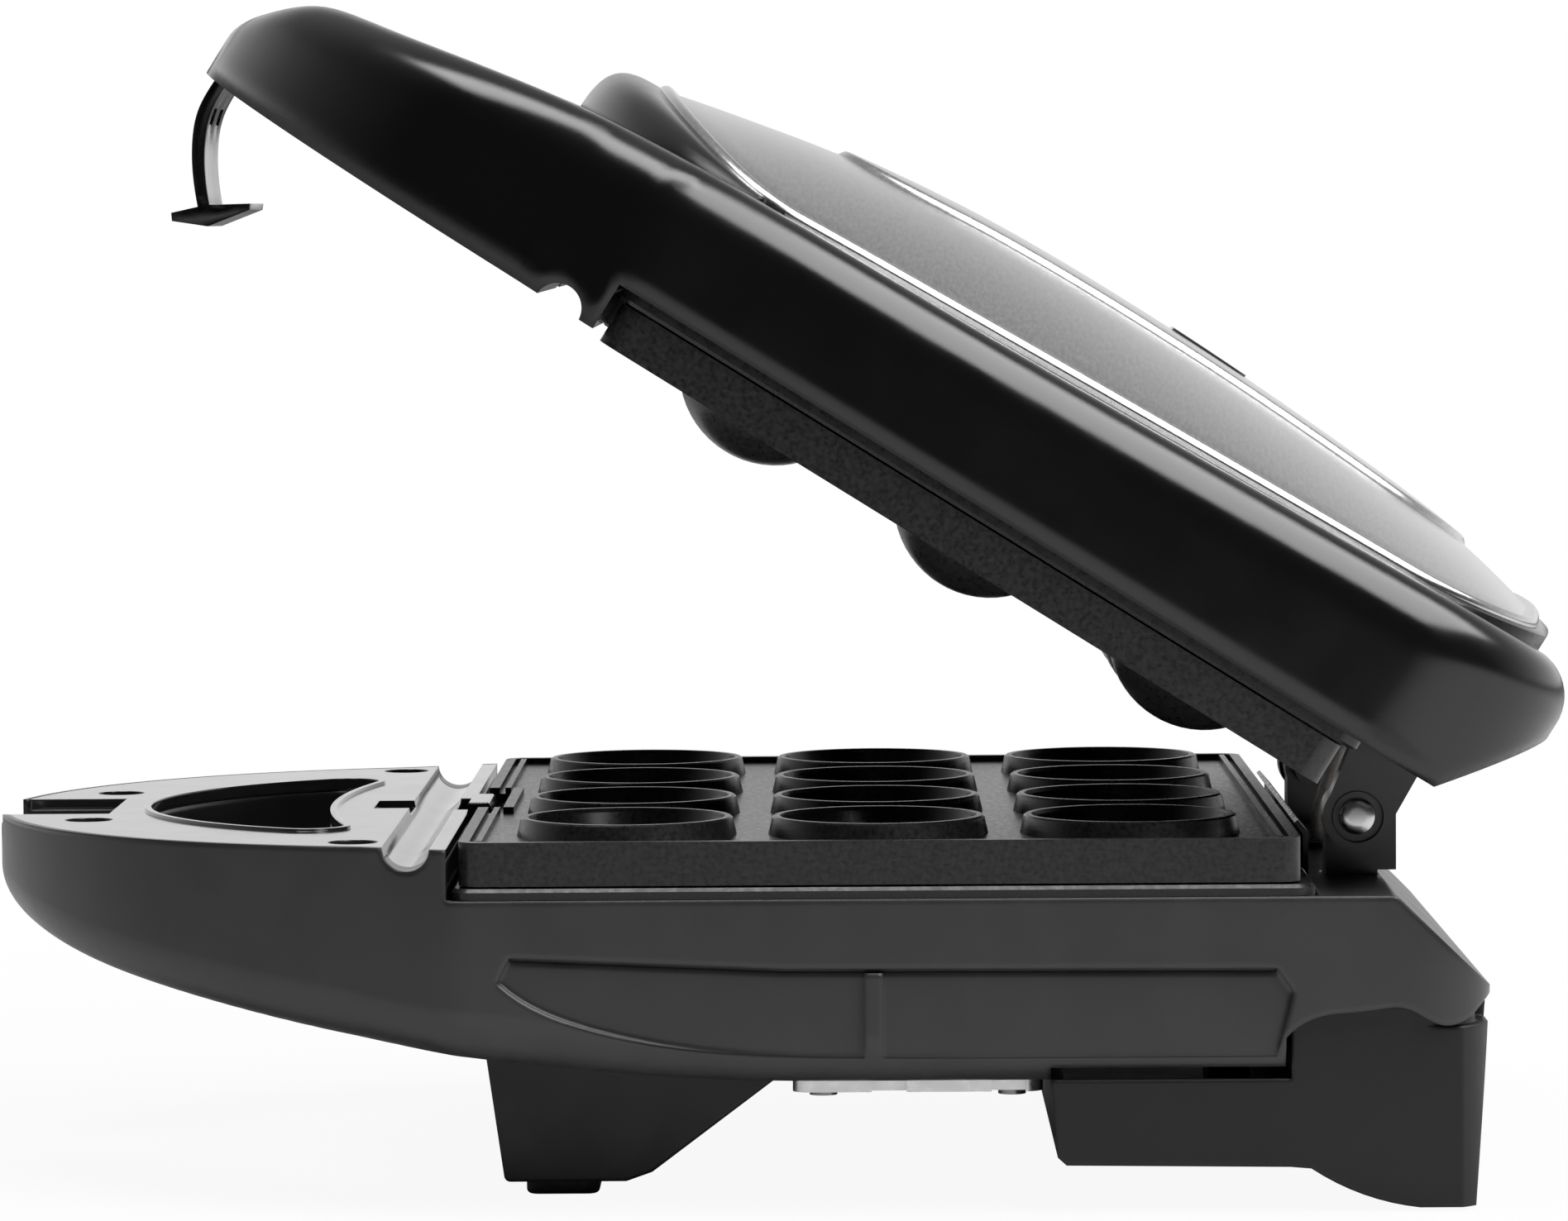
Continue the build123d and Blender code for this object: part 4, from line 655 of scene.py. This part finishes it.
panel = skin_of("brushed_steel_panel", rings)
edit_whole(panel, bpy.ops.mesh.remove_doubles, threshold=MERGE_DISTANCE)
print("panel before its thickness:", len(panel.data.vertices), "points")

# %% [markdown]
# A modifier that is applied at once leaves plain mesh behind. Solidify needs to know the sheet's
# upper side, so all its faces are turned the same way first, and then flipped if that way is down.

# %% Give the sheet its thickness
SHEET_THICKNESS = 0.0007
BELOW_THE_SKIN = -1.0
CREASE_ANGLE = radians(50)


def with_modifier(piece, kind, **settings):
    """Add a modifier with its settings and apply it at once."""
    pick(piece)
    modifier = piece.modifiers.new(kind.lower(), kind)
    for setting, value in settings.items():
        setattr(modifier, setting, value)
    bpy.ops.object.modifier_apply(modifier=modifier.name)


edit_whole(panel, bpy.ops.mesh.normals_make_consistent, inside=False)
upwards = on_open_lid(0, 0, 1) - on_open_lid(0, 0, 0)
if sum(face.normal.dot(upwards) for face in panel.data.polygons) < 0:
    panel.data.flip_normals()
with_modifier(panel, "SOLIDIFY", thickness=SHEET_THICKNESS, offset=BELOW_THE_SKIN)
bpy.ops.object.shade_smooth_by_angle(angle=CREASE_ANGLE)
dress(panel, "panel_steel")
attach(panel, "lid")
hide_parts("steel_panel")
print("panel:", len(panel.data.polygons), "faces")

# %% [markdown]
# ## Lead across the hinge
# One sleeved lead passes from the base into the lid through two grommets. It is stiff where the
# grommets hold it and bends between them as the lid swings. Here it is a curve with a round
# section, turned into a mesh and smoothed at its corners.

# %% Lead
# From the base's grommet up to the lid's, in metres.
LEAD_PLACES = [(0.0, 0.133, 0.066), (0.0, 0.133, 0.080),
               (0.0, 0.13769, 0.09472), (0.0, 0.14513, 0.10658)]
LEAD_STEPS = 6
LEAD_RADIUS = 0.0024
LEAD_ROUNDNESS = 4
CAP_MERGE_DISTANCE = 0.00001

spots = []
for here, there in zip(LEAD_PLACES, LEAD_PLACES[1:]):
    spots += [Vector(here).lerp(Vector(there), step / LEAD_STEPS) for step in range(LEAD_STEPS)]
spots.append(Vector(LEAD_PLACES[-1]))

bpy.ops.object.select_all(action="DESELECT")
bpy.ops.curve.primitive_nurbs_path_add(location=(0, 0, 0))
lead = bpy.context.object
lead.name = "sleeved_lead"
lead.data.splines.clear()
run = lead.data.splines.new("POLY")
run.points.add(len(spots) - 1)
for point, spot in zip(run.points, spots):
    point.co = (*spot, 1.0)
lead.data.bevel_depth = LEAD_RADIUS
lead.data.bevel_resolution = LEAD_ROUNDNESS
lead.data.use_fill_caps = True
bpy.ops.object.convert(target="MESH")
lead = bpy.context.object
edit_whole(lead, bpy.ops.mesh.remove_doubles, threshold=CAP_MERGE_DISTANCE)
edit_whole(lead, bpy.ops.mesh.normals_make_consistent, inside=False)
with_modifier(lead, "SMOOTH", factor=0.5, iterations=4)
bpy.ops.object.shade_smooth_by_angle(angle=CREASE_ANGLE)
dress(lead, "wire_sleeve")
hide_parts("hinge_lead")
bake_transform(lead)
print("lead:", len(lead.data.polygons), "faces, size", [round(v, 4) for v in lead.dimensions])

# %% [markdown]
# ## Heads of the hinge pins
# Each pin ends in a polished dome in the middle of its dish, which is painted dark in place of the
# dark reflection it shows. A thin cylinder is the start: its outer cap is inset and drawn out four
# times, at first steeply and in the end nearly flat, which rounds it into a dome.

# %% Pin heads
HEAD_RADIUS = 0.0043
HEAD_FOOT = 0.0812
HEAD_BLANK = 0.0004
HEAD_SIDES = 48
HEAD_CREASE_ANGLE = radians(60)
# A face whose normal leads out by more than this is the cap.
CAP_NORMAL = 0.9
# Each step: how far the cap is inset and how far it is then drawn out.
HEAD_STEPS = [(0.0001, 0.0005), (0.0003, 0.0003), (0.0007, 0.0003), (0.0014, 0.0001)]


def pin_head(name, side):
    """A domed head on a pin's outer end; side is 1 towards the camera and -1 away from it."""
    bpy.ops.object.select_all(action="DESELECT")
    bpy.ops.mesh.primitive_cylinder_add(
        vertices=HEAD_SIDES, radius=HEAD_RADIUS, depth=HEAD_BLANK, rotation=(0, QUARTER_TURN, 0),
        location=(side * HEAD_FOOT, HINGE_Y / MM_PER_M, HINGE_Z / MM_PER_M))
    head = bpy.context.object
    head.name = name
    bpy.ops.object.transform_apply(location=True, rotation=True, scale=True)
    bpy.ops.object.mode_set(mode="EDIT")
    bpy.ops.mesh.select_mode(type="FACE")
    bpy.ops.mesh.select_all(action="DESELECT")
    bpy.ops.object.mode_set(mode="OBJECT")
    for face in head.data.polygons:
        face.select = face.normal.x * side > CAP_NORMAL
    bpy.ops.object.mode_set(mode="EDIT")
    for inset, rise in HEAD_STEPS:
        bpy.ops.mesh.inset(thickness=inset)
        bpy.ops.transform.translate(value=(side * rise, 0, 0))
    bpy.ops.object.mode_set(mode="OBJECT")
    bpy.ops.object.shade_smooth_by_angle(angle=HEAD_CREASE_ANGLE)
    dress(head, "pin_metal")
    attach(head, "base")
    return head


for head_name, head_side in (("pin_head_right", 1), ("pin_head_left", -1)):
    made = pin_head(head_name, head_side)
    reach = max(abs(v.co.x) for v in made.data.vertices)
    print(made.name, len(made.data.polygons), "faces, out to", round(reach, 4))
